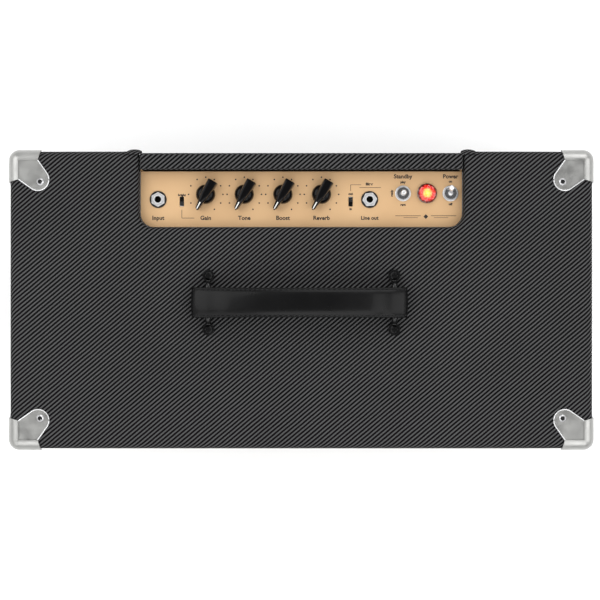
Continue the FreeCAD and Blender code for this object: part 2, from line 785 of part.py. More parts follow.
def panel_holes(drawn):
    """The holes that the faceplate and the chassis share."""
    bushing = thread_r + 0.2
    for x in knob_places:
        circle(drawn, x, knob_y, bushing)
    for x in (input_x, line_x):
        circle(drawn, x, jack_y, bushing)
    for x in (standby_x, power_x):
        circle(drawn, x, toggle_y, 6.1)
    circle(drawn, pilot_x, toggle_y, 8.1)
    for x in (bright_x, filter_x):
        rectangle(
            drawn, x - slot_w / 2, slide_y - slot_len / 2, x + slot_w / 2, slide_y + slot_len / 2
        )
    return drawn


def faceplate():
    """Gold plate that drops into the notch on top of the chassis."""
    made = body("faceplate")
    half = notch_w / 2 - plate_gap
    front_y = notch_front + plate_gap
    drawn = rectangle(sketch(made, "XY"), -half, front_y, half, chassis_rear)
    pad(made, drawn, plate_t)
    edge = num(half)
    fillet(
        made, notch_r - plate_gap,
        lambda p: abs(p.y - num(front_y)) < 0.1 and abs(abs(p.x) - edge) < 0.1,
    )
    pocket(made, panel_holes(sketch(made, "XY")), plate_t, reverse=True)
    keep(place(made, 0, 0, in_top), "faceplate")


def chassis_plates(whole):
    """The channel's flat plates as separate solids: web and ears, front, floor and ends."""
    y0, deep, t, inside = chassis_front, chassis_rear - chassis_front, sheet_t, chassis_h - 2 * sheet_t
    low, wide = chassis_low, 2 * chassis_x
    spaces = {
        "web": ((-chassis_x - 20, y0, low + t + inside), (wide + 40, deep, t)),
        "floor": ((-chassis_x, y0, low), (wide, deep, t)),
        "front": ((-chassis_x, y0, low + t), (wide, t, inside)),
        "left": ((-chassis_x, y0 + t, low + t), (t, deep - t, inside)),
        "right": ((chassis_x - t, y0 + t, low + t), (t, deep - t, inside)),
    }
    made = []
    for name, (corner, size) in spaces.items():
        made.append(common(f"chassis_{name}", whole, box(f"chassis_{name}_space", corner, size)))
    return together("chassis_plates", *made)


def chassis():
    """Folded channel, open to the rear, with closed ends and two mounting ears."""
    made = body("chassis_whole")
    y0, y1, t, h = chassis_front, chassis_rear, sheet_t, chassis_h
    drawn = polygon(sketch(made, "YZ", -chassis_x), [
        (y0, 0), (y1, 0), (y1, t), (y0 + t, t), (y0 + t, h - t), (y1, h - t), (y1, h), (y0, h),
    ])
    pad(made, drawn, 2 * chassis_x)
    for start in (-chassis_x, chassis_x - t):
        pad(made, rectangle(sketch(made, "YZ", start), y0, 0, y1, h), t)
    ears = sketch(made, "XY", h - t)
    rectangle(ears, -chassis_x - 20, y0 + 10, -chassis_x, y0 + 65)
    rectangle(ears, chassis_x, y0 + 10, chassis_x + 20, y0 + 65)
    pad(made, ears, t)
    pocket(made, panel_holes(sketch(made, "XY", h - t)), t, reverse=True)
    under = sketch(made, "XY")
    for x in preamp_places:
        circle(under, x, valve_y, 10.2)
    for x in power_valve_places:
        circle(under, x, valve_y, 14.2)
    for x in rear_jack_places:
        circle(under, x, rear_jack_y, thread_r + 0.2)
    circle(under, inlet_x, fuse_y, 6.7)
    rectangle(under, inlet_x - 15.2, inlet_y - 11.2, inlet_x + 15.2, inlet_y + 11.2)
    pocket(made, under, t, reverse=True)
    fixings = sketch(made, "XY", h - t)
    for side in (-1, 1):
        for y in (y0 + 18, y0 + 57):
            circle(fixings, side * (chassis_x + 11), y, 2.3)
    pocket(made, fixings, t, reverse=True)
    keep(chassis_plates(place(made, 0, 0, chassis_low)), "chassis")

    source = screw("chassis_screw_source", 4.2, 2.4, 2.1, 15)
    z = num(in_top - sheet_t)
    places = []
    for side in (-1, 1):
        for y in (num(y0) + 18, num(y0) + 57):
            places.append((V(side * (num(chassis_x) + 11), y, z), DOWN))
    keep(feature("chassis_screw_set", copies(source, places)), "chassis_screws")


def knob(name, x):
    """Pointer knob: a round skirt under a bar that is blunt behind and pointed in front."""
    made = body(name)
    skirt = [(0, 0), (9.7, 0), (9.4, 6.5), (7.6, 8.6), (0, 8.6)]
    revolve(made, polygon(sketch(made, "XZ"), skirt))
    bar = polygon(sketch(made, "XY", 0.6), [
        (-5.2, 15), (5.2, 15), (4.3, 0), (2, -16.9), (-2, -16.9), (-4.3, 0),
    ])
    pad(made, bar, 15)
    pocket(made, circle(sketch(made, "XY"), 0, 0, 8), 4, reverse=True)
    pocket(made, circle(sketch(made, "XY", 4), 0, 0, shaft_r), 9, reverse=True)
    made.Placement.Rotation = FreeCAD.Rotation(V(0, 0, 1), -30)
    keep(place(made, x, knob_y, face + 0.8), name)


def pot(name, x):
    """Potentiometer: a can and a threaded bushing round its shaft's bore, and three lugs."""
    seat = in_top - sheet_t
    can = cylinder(name + "_can", (x, knob_y, seat - 10), 12, 10)
    bushing = cylinder(name + "_bushing", (x, knob_y, seat), thread_r, 7.4)
    lugs = []
    for i in range(3):
        lugs.append(box(f"{name}_lug_{i}", (x - 8.2 + 6 * i, knob_y - 18, seat - 6), (4.4, 8, 1.2)))
    bore = cylinder(name + "_bore", (x, knob_y, seat - 6), shaft_r + run_gap, 20)
    return cut(name, fuse(name + "_solid", can, bushing, *lugs), bore)


def potentiometers():
    names = ("gain", "tone", "boost", "reverb")
    for name, x in zip(names, knob_places):
        knob(name + "_knob", x)
        shaft = cylinder(name + "_shaft", (x, knob_y, in_top - sheet_t - 5.8), shaft_r, 22.3)
        keep(shaft, name + "_pot_shaft")
    pots = [pot(name + "_pot", x) for name, x in zip(names, knob_places)]
    keep(together("pot_set", *pots), "potentiometers")


def nut(name, x, y, z, turn=0):
    """A hexagonal panel nut, standing on z and turned by some degrees."""
    solid = prism(name + "_hexagon", (x, y, z), nut_af, nut_t)
    solid.Placement.Rotation = FreeCAD.Rotation(V(0, 0, 1), turn)
    return cut(name, solid, cylinder(name + "_thread", (x, y, z - 1), thread_r, nut_t + 2))


def jack(name, x, y, seat, direction):
    """Jack socket: its housing behind the panel, a bushing through it and one bore."""
    way = V(0, 0, direction)
    housing_z = seat - 20 if direction > 0 else seat
    housing = box(name + "_housing", (x - 8, y - 9, housing_z), (16, 18, 20))
    bushing = cylinder(name + "_bushing", (x, y, seat), thread_r, 8, way)
    start = seat - 19 * direction
    bore = cylinder(name + "_bore", (x, y, start), plug_r, 30, way)
    return cut(name, fuse(name + "_solid", housing, bushing), bore)


def jacks():
    """Panel jacks, the jacks under the chassis, and the nuts and washers of both."""
    seat = in_top - sheet_t
    washer_t = 0.8
    panel = (("input_jack", input_x), ("line_jack", line_x))
    front = []
    for name, x in panel:
        front.append(jack(name, x, jack_y, seat, 1))
    keep(together("panel_jack_set", *front), "panel_jacks")
    rear = []
    for i, x in enumerate(rear_jack_places):
        rear.append(jack(f"rear_jack_{i}", x, rear_jack_y, flange_z, -1))
    keep(together("rear_jack_set", *rear), "speaker_jacks")

    nuts = [nut("input_nut", input_x, jack_y, face + washer_t, 30)]
    nuts.append(nut("line_nut", line_x, jack_y, face + washer_t, 6))
    nuts += [nut(f"pot_nut_{i}", x, knob_y, face) for i, x in enumerate(knob_places)]
    for i, x in enumerate(rear_jack_places):
        nuts.append(nut(f"rear_nut_{i}", x, rear_jack_y, chassis_low - nut_t))
    keep(together("nut_set", *nuts), "bushing_nuts")

    washers = []
    for name, x in panel:
        disc = cylinder(name + "_disc", (x, jack_y, face), 8.4, washer_t)
        hole = cylinder(name + "_hole", (x, jack_y, face - 1), thread_r, 4)
        washers.append(cut(name + "_washer", disc, hole))
    keep(together("washer_set", *washers), "jack_washers")


def toggles():
    """Power and standby switches: housings, round nuts, and levers on a ball."""
    seat = in_top - sheet_t
    housings, nuts = [], []
    for name, x, tilt in (("standby", standby_x, 0), ("power", power_x, lever_tilt.number)):
        shell = box(name + "_shell", (x - 6.5, toggle_y - 10, seat - 18), (13, 20, 18))
        bushing = cylinder(name + "_bushing", (x, toggle_y, seat), 5.9, 8.4)
        bore = cylinder(name + "_bore", (x, toggle_y, seat - 8), 3.5, 24)
        housings.append(cut(name + "_housing", fuse(name + "_solid", shell, bushing), bore))
        ring = cylinder(name + "_ring", (x, toggle_y, face), 7.1, 2.6)
        hole = cylinder(name + "_thread", (x, toggle_y, face - 1), 5.9, 6)
        slot = box(name + "_slot", (x - 0.9, toggle_y - 8, face + 1.6), (1.8, 16, 2))
        nuts.append(cut(name + "_nut", ring, fuse(name + "_nut_tool", hole, slot)))
        bat = turned(name + "_bat", [
            (0, -6), (1.1, -6), (1.4, 0), (1.7, 6), (2.7, lever_len - 2.6),
            (2.4, lever_len - 0.9), (1.3, lever_len), (0, lever_len),
        ])
        bat.Placement.Rotation = FreeCAD.Rotation(V(1, 0, 0), -tilt)
        place(bat, x, toggle_y, face + lever_rise)
        ball = doc.addObject("Part::Sphere", name + "_ball")
        bind(ball, "Radius", ball_r)
        place(ball, x, toggle_y, face + lever_rise)
        keep(fuse(name + "_lever_solid", bat, ball), name + "_lever")
    keep(together("toggle_housings", *housings), "toggle_switches")
    keep(together("toggle_nut_set", *nuts), "toggle_nuts")


def slide_switches():
    """Two small slide switches under the panel, and the buttons that slide in their slots."""
    seat = in_top - sheet_t
    frames = []
    for name, x, way in (("bright", bright_x, -1), ("filter", filter_x, 1)):
        frame = box(name + "_frame", (x - 6, slide_y - 11, seat - 9), (12, 22, 9))
        room = (slot_w, slot_len, 8)
        well = box(name + "_well", (x - slot_w / 2, slide_y - slot_len / 2, seat - 7), room)
        frames.append(cut(name + "_switch", frame, well))
        middle = slide_y + way * (slot_len / 2 - slider_len / 2 - 0.2)
        low = (x - slot_w / 2 + 0.2, middle - slider_len / 2, seat - 6.6)
        button = box(name + "_button", low, (slot_w - 0.4, slider_len, plate_t + sheet_t + 7.4))
        keep(button, name + "_slider")
    keep(together("slide_switch_set", *frames), "slide_switches")


def pilot():
    """Pilot lamp: a chromed holder with its lamp tube, and a domed jewel."""
    holder = turned("pilot_holder_body", [
        (6.6, -24), (7.9, -24), (7.9, 0), (9.9, 0), (9.9, 1.2), (9.1, 2.0), (6.6, 2.0),
    ], pilot_x, toggle_y, face)
    keep(holder, "pilot_holder")
    jewel = turned("pilot_jewel_body", [
        (0, -3), (6.3, -3), (6.3, 2.1), (9.3, 2.1), (9.3, 4.4), (7.8, 7.0), (4.4, 8.4), (0, 8.4),
    ], pilot_x, toggle_y, face)
    keep(jewel, "pilot_jewel")


# ---------------------------------------------------------------- inside the cabinet

def valves():
    """Three small preamp valves and two power valves hanging from their sockets."""
    preamp = turned("preamp_valve_source", [
        (0, 0), (10.4, 0), (10.8, -2), (10.8, -40), (8.6, -46), (3.2, -48.5), (1.2, -53), (0, -53),
    ])
    power = turned("power_valve_source", [
        (0, 0), (16.4, 0), (16.4, -20), (14.6, -22), (14.6, -66), (11, -75), (4, -79), (0, -79.5),
    ])
    small_seat = turned("small_socket_source", [
        (0, 12), (9.8, 12), (9.8, 0), (14, 0), (14, -2), (11.8, -2), (11.8, -3.4), (0, -3.4),
    ])
    large_seat = turned("large_socket_source", [
        (0, 12), (13.8, 12), (13.8, 0), (20, 0), (20, -2), (17.5, -2), (17.5, -3.4), (0, -3.4),
    ])
    z = num(chassis_low)
    small = [V(num(x), num(valve_y), z) for x in preamp_places]
    large = [V(num(x), num(valve_y), z) for x in power_valve_places]
    hang = V(0, 0, -3.4)
    keep(feature("preamp_set", copies(preamp, [(p + hang, UP) for p in small])), "preamp_valves")
    keep(feature("power_set", copies(power, [(p + hang, UP) for p in large])), "power_valves")
    seats = copies(small_seat, [(p, UP) for p in small]).Solids
    seats += copies(large_seat, [(p, UP) for p in large]).Solids
    keep(feature("socket_set", Part.makeCompound(seats)), "valve_sockets")


def transformer(name, x, wide, deep, high, bell):
    """Upright transformer under the chassis: a laminated core, two bells and a foot strap."""
    z = chassis_low - high - 2
    core = box(name + "_core", (x - wide / 2, iron_y - deep / 2, z), (wide, deep, high))
    foot_low = (x - wide / 2, iron_y - deep / 2 - bell, chassis_low - 2)
    foot = box(name + "_foot", foot_low, (wide, deep + 2 * bell, 2))
    made = [core, foot]
    for side, y in (("front", iron_y - deep / 2 - bell), ("rear", iron_y + deep / 2 - 4)):
        low = (x - wide * 0.4, y, z + 6)
        whole = block(f"{name}_{side}_blank", low, (wide * 0.8, bell + 4, high - 12), 3.5)
        made.append(cut(f"{name}_{side}_bell", whole, core))
    keep(together(name + "_set", *made), name)


def electronics():
    """Component board, filter capacitors and the two transformers."""
    transformer("power_transformer", pt_x, 74, 36, 60, 14)
    transformer("output_transformer", ot_x, 54, 26, 46, 12)
    board_y, board_low = chassis_front + 8, chassis_low + 14
    board = box("board", (-200, board_y, board_low), (330, 2, 40))
    parts = [board]
    for i in range(16):
        x = -190 + 15 * i
        thick = 3.4 if i % 3 == 0 else 2.2
        foot = (x, board_y + 2 + thick, board_low + 12)
        parts.append(cylinder(f"component_{i}", foot, thick, 16))
    for i in range(6):
        post = (-190 + 60 * i, chassis_front + sheet_t, board_low + 5)
        parts.append(cylinder(f"spacer_{i}", post, 3, 8 - sheet_t, V(0, 1, 0)))
    keep(together("board_set", *parts), "circuit_board")
    caps = []
    for i in range(2):
        foot = (62, board_y + 11.2, board_low + 9.4 + 20 * i)
        caps.append(cylinder(f"filter_cap_{i}", foot, 9, 50, V(1, 0, 0)))
    keep(together("capacitor_set", *caps), "filter_capacitors")


def mains():
    """Mains inlet with its three pins, and the fuse holder with its bayonet cap."""
    x, y = inlet_x, inlet_y
    z = chassis_low - 2.5
    flange = box("inlet_flange", (x - 25, y - 11.5, z), (50, 23, 2.5))
    shell = box("inlet_shell", (x - 15, y - 11, z), (30, 22, 26))
    well = box("inlet_well", (x - 12.3, y - 8.4, z - 1), (24.6, 16.8, 18))
    shroud = cut("inlet_shroud", fuse("inlet_solid", flange, shell), well)
    pins = []
    for name, dx, dy in (("line", -7, -2), ("earth", 0, 2), ("neutral", 7, -2)):
        pins.append(box(f"{name}_pin", (x + dx - 1, y + dy - 2, z + 3), (2, 4, 14)))
    keep(together("inlet_set", shroud, *pins), "mains_inlet")

    holder = turned("fuse_holder_body", [
        (5.2, 26), (6.5, 26), (6.5, 0), (9, 0), (9, -3), (5.2, -3),
    ], inlet_x, fuse_y, chassis_low)
    keep(holder, "fuse_holder")
    cap = turned("fuse_cap_body", [
        (0, 18), (2.6, 18), (2.6, -1), (4.9, -1), (4.9, -3.3), (6.6, -3.3), (6.6, -9),
        (5.8, -10), (0, -10),
    ], inlet_x, fuse_y, chassis_low)
    slot = rectangle(sketch(cap, "XY", -10), -4.5, -0.7, 4.5, 0.7)
    pocket(cap, slot, 2, reverse=True)
    keep(cap, "fuse_cap")


def reverb():
    """Spring reverb tank: a tray, a channel floating on four springs, and three long springs."""
    skin = 1.0
    tray = box("tray_blank", (-tank_x, tank_y - tank_w / 2, in_low), (2 * tank_x, tank_w, tank_h))
    well = box(
        "tray_well", (-tank_x + skin, tank_y - tank_w / 2 + skin, in_low + skin),
        (2 * tank_x - 2 * skin, tank_w - 2 * skin, tank_h),
    )
    keep(cut("tray", tray, well), "reverb_tank")

    half_x, half_y = tank_x - 30, tank_w / 2 - 20
    low, high = in_low + 12, in_low + 26
    channel = body("reverb_channel_body")
    outline = rectangle(sketch(channel, "XY"), -half_x, -half_y, half_x, half_y)
    pad(channel, outline, high - low)
    inner = sketch(channel, "XY", skin)
    rectangle(inner, -half_x + skin, -half_y + skin, half_x - skin, half_y - skin)
    pocket(channel, inner, high - low, reverse=True)
    blocks = sketch(channel, "XY", skin)
    rectangle(blocks, -half_x + 6, -half_y + 8, -half_x + 26, half_y - 8)
    rectangle(blocks, half_x - 26, -half_y + 8, half_x - 6, half_y - 8)
    pad(channel, blocks, 10)
    keep(place(channel, 0, tank_y, low), "reverb_channel")

    springs, hangers = [], []
    for i in (-1, 0, 1):
        foot = (-half_x + 26, tank_y + 14 * i, low + 7)
        springs.append(cylinder(f"long_spring_{i + 1}", foot, 2.2, 2 * half_x - 52, V(1, 0, 0)))
    keep(together("spring_set", *springs), "reverb_springs")
    for x in (-half_x + 16, half_x - 16):
        for y in (tank_y - half_y + 4, tank_y + half_y - 4):
            hangers.append(cylinder(f"hanger_{len(hangers)}", (x, y, in_low + skin), 2.4, 12 - skin))
    keep(together("hanger_set", *hangers), "reverb_hangers")


# ---------------------------------------------------------------- build, test and write

cabinet()
cleats()
front()
back()
corners()
feet()
panel_screws()
brackets()
strap()
faceplate()
chassis()
potentiometers()
jacks()
toggles()
slide_switches()
pilot()
valves()
electronics()
mains()
reverb()
doc.recompute()

for thing in doc.Objects:
    if "Invalid" in thing.State or "Error" in thing.State:
        raise ValueError(f"{thing.Name} failed: {thing.State}")
os.makedirs("parts", exist_ok=True)
for old in os.listdir("parts"):
    os.remove(os.path.join("parts", old))
for node in nodes:
    shape = node.Shape
    if shape.isNull() or not shape.isValid() or not shape.Solids:
        raise ValueError(f"{node.Label} has no valid solid")
    if any(solid.Volume <= 0 for solid in shape.Solids):
        raise ValueError(f"{node.Label} has a solid with no volume")
    shape.exportStep(os.path.join("parts", node.Label + ".step"))
print(len(nodes), "nodes written")
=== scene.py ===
"""Looks of a valve guitar amplifier head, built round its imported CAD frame. Metres, +Z up, front at -Y."""

import json
import math
from itertools import product

import bmesh
import bpy
from mathutils import Matrix, Vector

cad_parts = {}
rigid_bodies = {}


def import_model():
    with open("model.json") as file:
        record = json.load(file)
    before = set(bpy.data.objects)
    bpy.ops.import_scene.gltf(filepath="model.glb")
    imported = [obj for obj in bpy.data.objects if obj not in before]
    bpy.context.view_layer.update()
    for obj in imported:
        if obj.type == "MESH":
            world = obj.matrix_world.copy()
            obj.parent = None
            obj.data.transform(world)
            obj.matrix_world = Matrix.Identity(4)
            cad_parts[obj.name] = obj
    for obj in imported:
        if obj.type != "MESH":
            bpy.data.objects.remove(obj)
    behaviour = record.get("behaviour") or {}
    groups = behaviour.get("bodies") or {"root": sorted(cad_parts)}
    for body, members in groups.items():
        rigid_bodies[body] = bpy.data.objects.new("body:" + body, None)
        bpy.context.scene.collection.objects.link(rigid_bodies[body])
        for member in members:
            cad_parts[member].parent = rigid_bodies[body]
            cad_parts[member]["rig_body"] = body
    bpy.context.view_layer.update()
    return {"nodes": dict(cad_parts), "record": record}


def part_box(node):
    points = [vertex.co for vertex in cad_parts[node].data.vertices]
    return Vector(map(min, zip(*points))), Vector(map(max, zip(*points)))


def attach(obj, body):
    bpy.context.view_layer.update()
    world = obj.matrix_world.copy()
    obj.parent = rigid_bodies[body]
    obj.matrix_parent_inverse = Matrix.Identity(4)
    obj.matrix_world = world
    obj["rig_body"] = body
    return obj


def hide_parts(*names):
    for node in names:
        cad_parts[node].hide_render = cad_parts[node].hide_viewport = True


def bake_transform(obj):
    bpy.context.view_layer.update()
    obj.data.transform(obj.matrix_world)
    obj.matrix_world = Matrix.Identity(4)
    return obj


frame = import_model()
NODES = frame["nodes"]
MM = 0.001


# ------------------------------------------------------------------ shader helpers

class Mat:
    """A node material with short names for its parts."""

    def __init__(self, name, **settings):
        self.material = bpy.data.materials.new(name)
        self.material.use_nodes = True
        self.tree = self.material.node_tree
        self.shader = self.tree.nodes["Principled BSDF"]
        for key, value in settings.items():
            self.set(key.replace("_", " "), value)

    def set(self, name, value):
        socket = {s.name.lower(): s for s in self.shader.inputs}[name.lower()]
        self.join(value, socket)

    def join(self, value, socket):
        if isinstance(value, bpy.types.NodeSocket):
            self.tree.links.new(value, socket)
        elif isinstance(value, (tuple, list)) and len(value) == 3 and socket.type == "RGBA":
            socket.default_value = (*value, 1)
        else:
            socket.default_value = value

    def node(self, kind, out=0, props=None, **inputs):
        made = self.tree.nodes.new("ShaderNode" + kind)
        for key, value in (props or {}).items():
            setattr(made, key, value)
        for key, value in inputs.items():
            self.join(value, made.inputs[int(key[1:]) if key[1:].isdigit() else key])
        return made.outputs[out]

    def math(self, operation, a, b=0.0, c=0.0):
        return self.node("Math", props={"operation": operation}, _0=a, _1=b, _2=c)

    def times(self, a, b):
        return self.math("MULTIPLY", a, b)

    def plus(self, a, b):
        return self.math("ADD", a, b)

    def place(self, scale=(1, 1, 1), turn=(0, 0, 0)):
        """The point in the object's own frame, scaled and turned, for solid textures."""
        spot = self.node("TexCoord", out=3)
        return self.node("Mapping", Vector=spot, Scale=scale, Rotation=turn)

    def noise(self, size, detail=4.0, stretch=(1, 1, 1), turn=(0, 0, 0), rough=0.55):
        """Noise whose grains are about size metres across."""
        where = self.place(tuple(s / size for s in stretch), turn)
        return self.node("TexNoise", Vector=where, Scale=1.0, Detail=detail, Roughness=rough)

    def ramp(self, factor, stops, smooth=False):
        made = self.tree.nodes.new("ShaderNodeValToRGB")
        self.join(factor, made.inputs[0])
        if smooth:
            made.color_ramp.interpolation = "EASE"
        elements = made.color_ramp.elements
        while len(elements) < len(stops):
            elements.new(0.5)
        for element, (spot, colour) in zip(elements, stops):
            element.position = spot
            element.color = (*colour, 1) if isinstance(colour, tuple) else (colour,) * 3 + (1,)
        return made.outputs[0]

    def mix(self, factor, a, b):
        made = self.tree.nodes.new("ShaderNodeMix")
        made.data_type = "RGBA"
        for name, value in (("Factor_Float", factor), ("A_Color", a), ("B_Color", b)):
            socket = [s for s in made.inputs if s.identifier == name][0]
            self.join(value, socket)
        return [s for s in made.outputs if s.identifier == "Result_Color"][0]

    def spread(self, factor, low, high):
        return self.node("MapRange", Value=factor, **{"To Min": low, "To Max": high})

    def bump(self, height, depth, strength=1.0, base=None):
        made = self.tree.nodes.new("ShaderNodeBump")
        made.inputs["Distance"].default_value = depth
        made.inputs["Strength"].default_value = strength
        self.join(height, made.inputs["Height"])
        if base is not None:
            self.join(base, made.inputs["Normal"])
        self.tree.links.new(made.outputs[0], self.shader.inputs["Normal"])
        return made.outputs[0]


# ------------------------------------------------------------------ materials

def tweed():
    """Covering: dark ground with light floats in diagonal stripes, stepped at each thread."""
    m = Mat("tweed", Specular_IOR_Level=0.03)
    pitch, thread = 3.3 * MM, 0.55 * MM
    angle = math.radians(40)
    cloth = m.node("UVMap", props={"uv_map": "cloth"})
    wobble = m.node("TexNoise", out=0, Vector=cloth, Scale=55.0, Detail=2.0)
    split = m.tree.nodes.new("ShaderNodeSeparateXYZ")
    m.join(cloth, split.inputs[0])
    u, v = split.outputs[0], split.outputs[1]
    us, vs = m.math("SNAP", u, thread), m.math("SNAP", v, thread)

    def across(a, b):
        turned = m.math("SUBTRACT", m.times(b, math.cos(angle)),
                        m.times(a, math.sin(angle)))
        shifted = m.plus(turned, m.times(wobble, 0.5 * MM))
        return m.math("SINE", m.times(shifted, 2 * math.pi / pitch))

    stripe = m.plus(m.times(across(us, vs), 0.45),
                    m.times(across(u, v), 0.55))
    level = m.node("MapRange", Value=stripe, **{"From Min": -0.75, "From Max": 0.85})
    over = m.times(m.math("SINE", m.times(u, math.pi / thread)),
                  m.math("SINE", m.times(v, math.pi / thread)))
    twill = m.math("SINE", m.times(m.plus(u, v), 2 * math.pi / (1.3 * MM)))
    fibre = m.node("TexNoise", Vector=cloth, Scale=2600.0, Detail=3.0)
    patch = m.node("TexNoise", Vector=cloth, Scale=9.0, Detail=3.0)
    light = m.ramp(level, [(0, (0.0018, 0.0018, 0.002)), (0.35, (0.0042, 0.0042, 0.0045)),
                           (0.72, (0.043, 0.043, 0.044)), (1, (0.070, 0.070, 0.071))])
    speck = m.spread(m.plus(m.times(twill, 0.22), fibre), 0.62, 1.42)
    speck = m.times(speck, m.spread(patch, 0.86, 1.16))
    colour = m.tree.nodes.new("ShaderNodeVectorMath")
    colour.operation = "SCALE"
    m.join(light, colour.inputs[0])
    m.join(speck, colour.inputs["Scale"])
    m.set("Base Color", colour.outputs[0])
    m.set("Roughness", m.spread(fibre, 0.55, 0.85))
    height = m.plus(m.times(level, 0.75), m.times(over, 0.16))
    m.bump(m.plus(height, m.times(fibre, 0.12)), 0.32 * MM, 0.85)
    return m.material


def leather(name, tone, grain=1.6 * MM):
    m = Mat(name, Specular_IOR_Level=0.12, Coat_Weight=0.06, Coat_Roughness=0.12)
    cells = m.node("TexVoronoi", Vector=m.place((1 / grain,) * 3), Scale=1.0,
                   props={"feature": "DISTANCE_TO_EDGE"})
    fine = m.noise(0.5 * MM, 5)
    broad = m.noise(25 * MM, 3)
    # Base colour darkens along the grain's crevices as painted shade in the creases, and in broad random
    # patches of tone.
    crease_shade_and_wear = m.times(m.times(cells, 1.6), m.spread(broad, 0.6, 1.3))
    dark = tuple(c * 0.45 for c in tone)
    m.set("Base Color", m.mix(crease_shade_and_wear, dark, tone))
    m.set("Roughness", m.spread(broad, 0.2, 0.4))
    m.bump(m.plus(m.times(m.math("MINIMUM", cells, 0.25), 2.2), fine), 0.09 * MM, 0.4)
    return m.material


def metal(name, tone, rough, brushed=None, wear=0.0, bare=1.0, wavy=0.0):
    """Plated or drawn metal; brushed is the direction of its fine scratches, bare its share of
    mirror and wavy the depth of the slow waves of a pressed sheet."""
    m = Mat(name, Metallic=bare)
    stretch = {None: (1, 1, 1), "x": (0.03, 1, 1), "z": (1, 1, 0.03)}[brushed]
    scratch = m.noise(0.35 * MM, 4, stretch)
    cloud = m.noise(12 * MM, 4)
    dull = tuple(c * (0.86 - wear) for c in tone)
    m.set("Base Color", m.mix(cloud, dull, tone))
    smudge = m.times(cloud, m.spread(scratch, 0.7, 1.3))
    m.set("Roughness", m.spread(smudge, rough * 0.55, rough * 1.7))
    waves = m.bump(m.noise(16 * MM, 0), wavy, 0.5) if wavy else None
    m.bump(scratch, 0.02 * MM, 0.25 if brushed else 0.08, waves)
    return m.material


def enamel(name, tone, rough=0.3, metallic=0.0, texture=0.5 * MM, depth=0.02 * MM, shine=0.5):
    """Paint, moulded plastic or rubber, by its roughness and the size of its texture."""
    m = Mat(name, Metallic=metallic, Specular_IOR_Level=shine)
    fine, cloud = m.noise(texture, 5), m.noise(18 * MM, 3)
    m.set("Base Color", m.mix(cloud, tuple(c * 0.8 for c in tone), tuple(c * 1.12 for c in tone)))
    m.set("Roughness", m.spread(cloud, rough * 0.75, min(1.0, rough * 1.3)))
    m.bump(fine, depth, 0.4)
    return m.material


def wood(name, along):
    """Softwood with growth rings stretched along one axis."""
    m = Mat(name, Specular_IOR_Level=0.35)
    stretch = [1.0, 1.0, 1.0]
    stretch["xyz".index(along)] = 0.05
    where = m.place(tuple(s / (26 * MM) for s in stretch))
    bend = m.node("TexNoise", out=1, Vector=where, Scale=0.8, Detail=3.0)
    rings = m.node("TexWave", Vector=m.node("VectorMath", _0=where, _1=bend), Scale=1.1,
                   Distortion=3.0, Detail=3.0, **{"Detail Scale": 1.2})
    pores = m.noise(0.8 * MM, 4, tuple(stretch))
    tone = m.ramp(rings, [(0, (0.56, 0.36, 0.18)), (0.55, (0.66, 0.46, 0.25)), (1, (0.42, 0.24, 0.11))])
    m.set("Base Color", m.mix(m.spread(pores, 0.0, 0.35), tone, (0.33, 0.19, 0.09)))
    m.set("Roughness", m.spread(pores, 0.5, 0.8))
    m.bump(m.plus(pores, m.times(rings, 0.5)), 0.12 * MM, 0.4)
    return m.material


def gold():
    """Satin gold plate with a fine brush along its length."""
    m = Mat("gold_plate", Metallic=0.55, Specular_IOR_Level=0.4)
    brush = m.noise(0.5 * MM, 4, (0.02, 1, 1))
    cloud = m.noise(60 * MM, 3)
    m.set("Base Color", m.mix(cloud, (0.61, 0.38, 0.196), (0.70, 0.468, 0.258)))
    m.set("Roughness", m.spread(brush, 0.34, 0.5))
    m.bump(brush, 0.015 * MM, 0.2)
    return m.material


def cloth_weave(name, tone, dark, pitch):
    """Open basket weave for the grille cloth, by position."""
    m = Mat(name, Specular_IOR_Level=0.2, Sheen_Weight=0.1)
    split = m.tree.nodes.new("ShaderNodeSeparateXYZ")
    m.join(m.place(), split.inputs[0])
    x = m.math("SINE", m.times(split.outputs[0], math.pi / pitch))
    z = m.math("SINE", m.times(split.outputs[2], math.pi / pitch))
    knots = m.plus(m.times(m.times(x, z), 0.5), 0.5)
    fibre = m.noise(0.3 * MM, 3)
    cloud = m.noise(30 * MM, 2)
    level = m.times(m.plus(knots, m.times(fibre, 0.3)), m.spread(cloud, 0.7, 0.95))
    m.set("Base Color", m.mix(level, dark, tone))
    m.set("Roughness", m.spread(fibre, 0.7, 0.95))
    m.bump(level, 0.35 * MM, 0.8)
    return m.material


def glass(name, tone, rough=0.03, weight=1.0):
    m = Mat(name, Transmission_Weight=weight, IOR=1.45)
    cloud = m.noise(15 * MM, 3)
    m.set("Base Color", m.mix(cloud, tuple(c * 0.93 for c in tone), tone))
    m.set("Roughness", m.spread(cloud, rough * 0.5, rough * 2))
    m.bump(m.noise(6 * MM, 2), 0.02 * MM, 0.1)
    return m.material


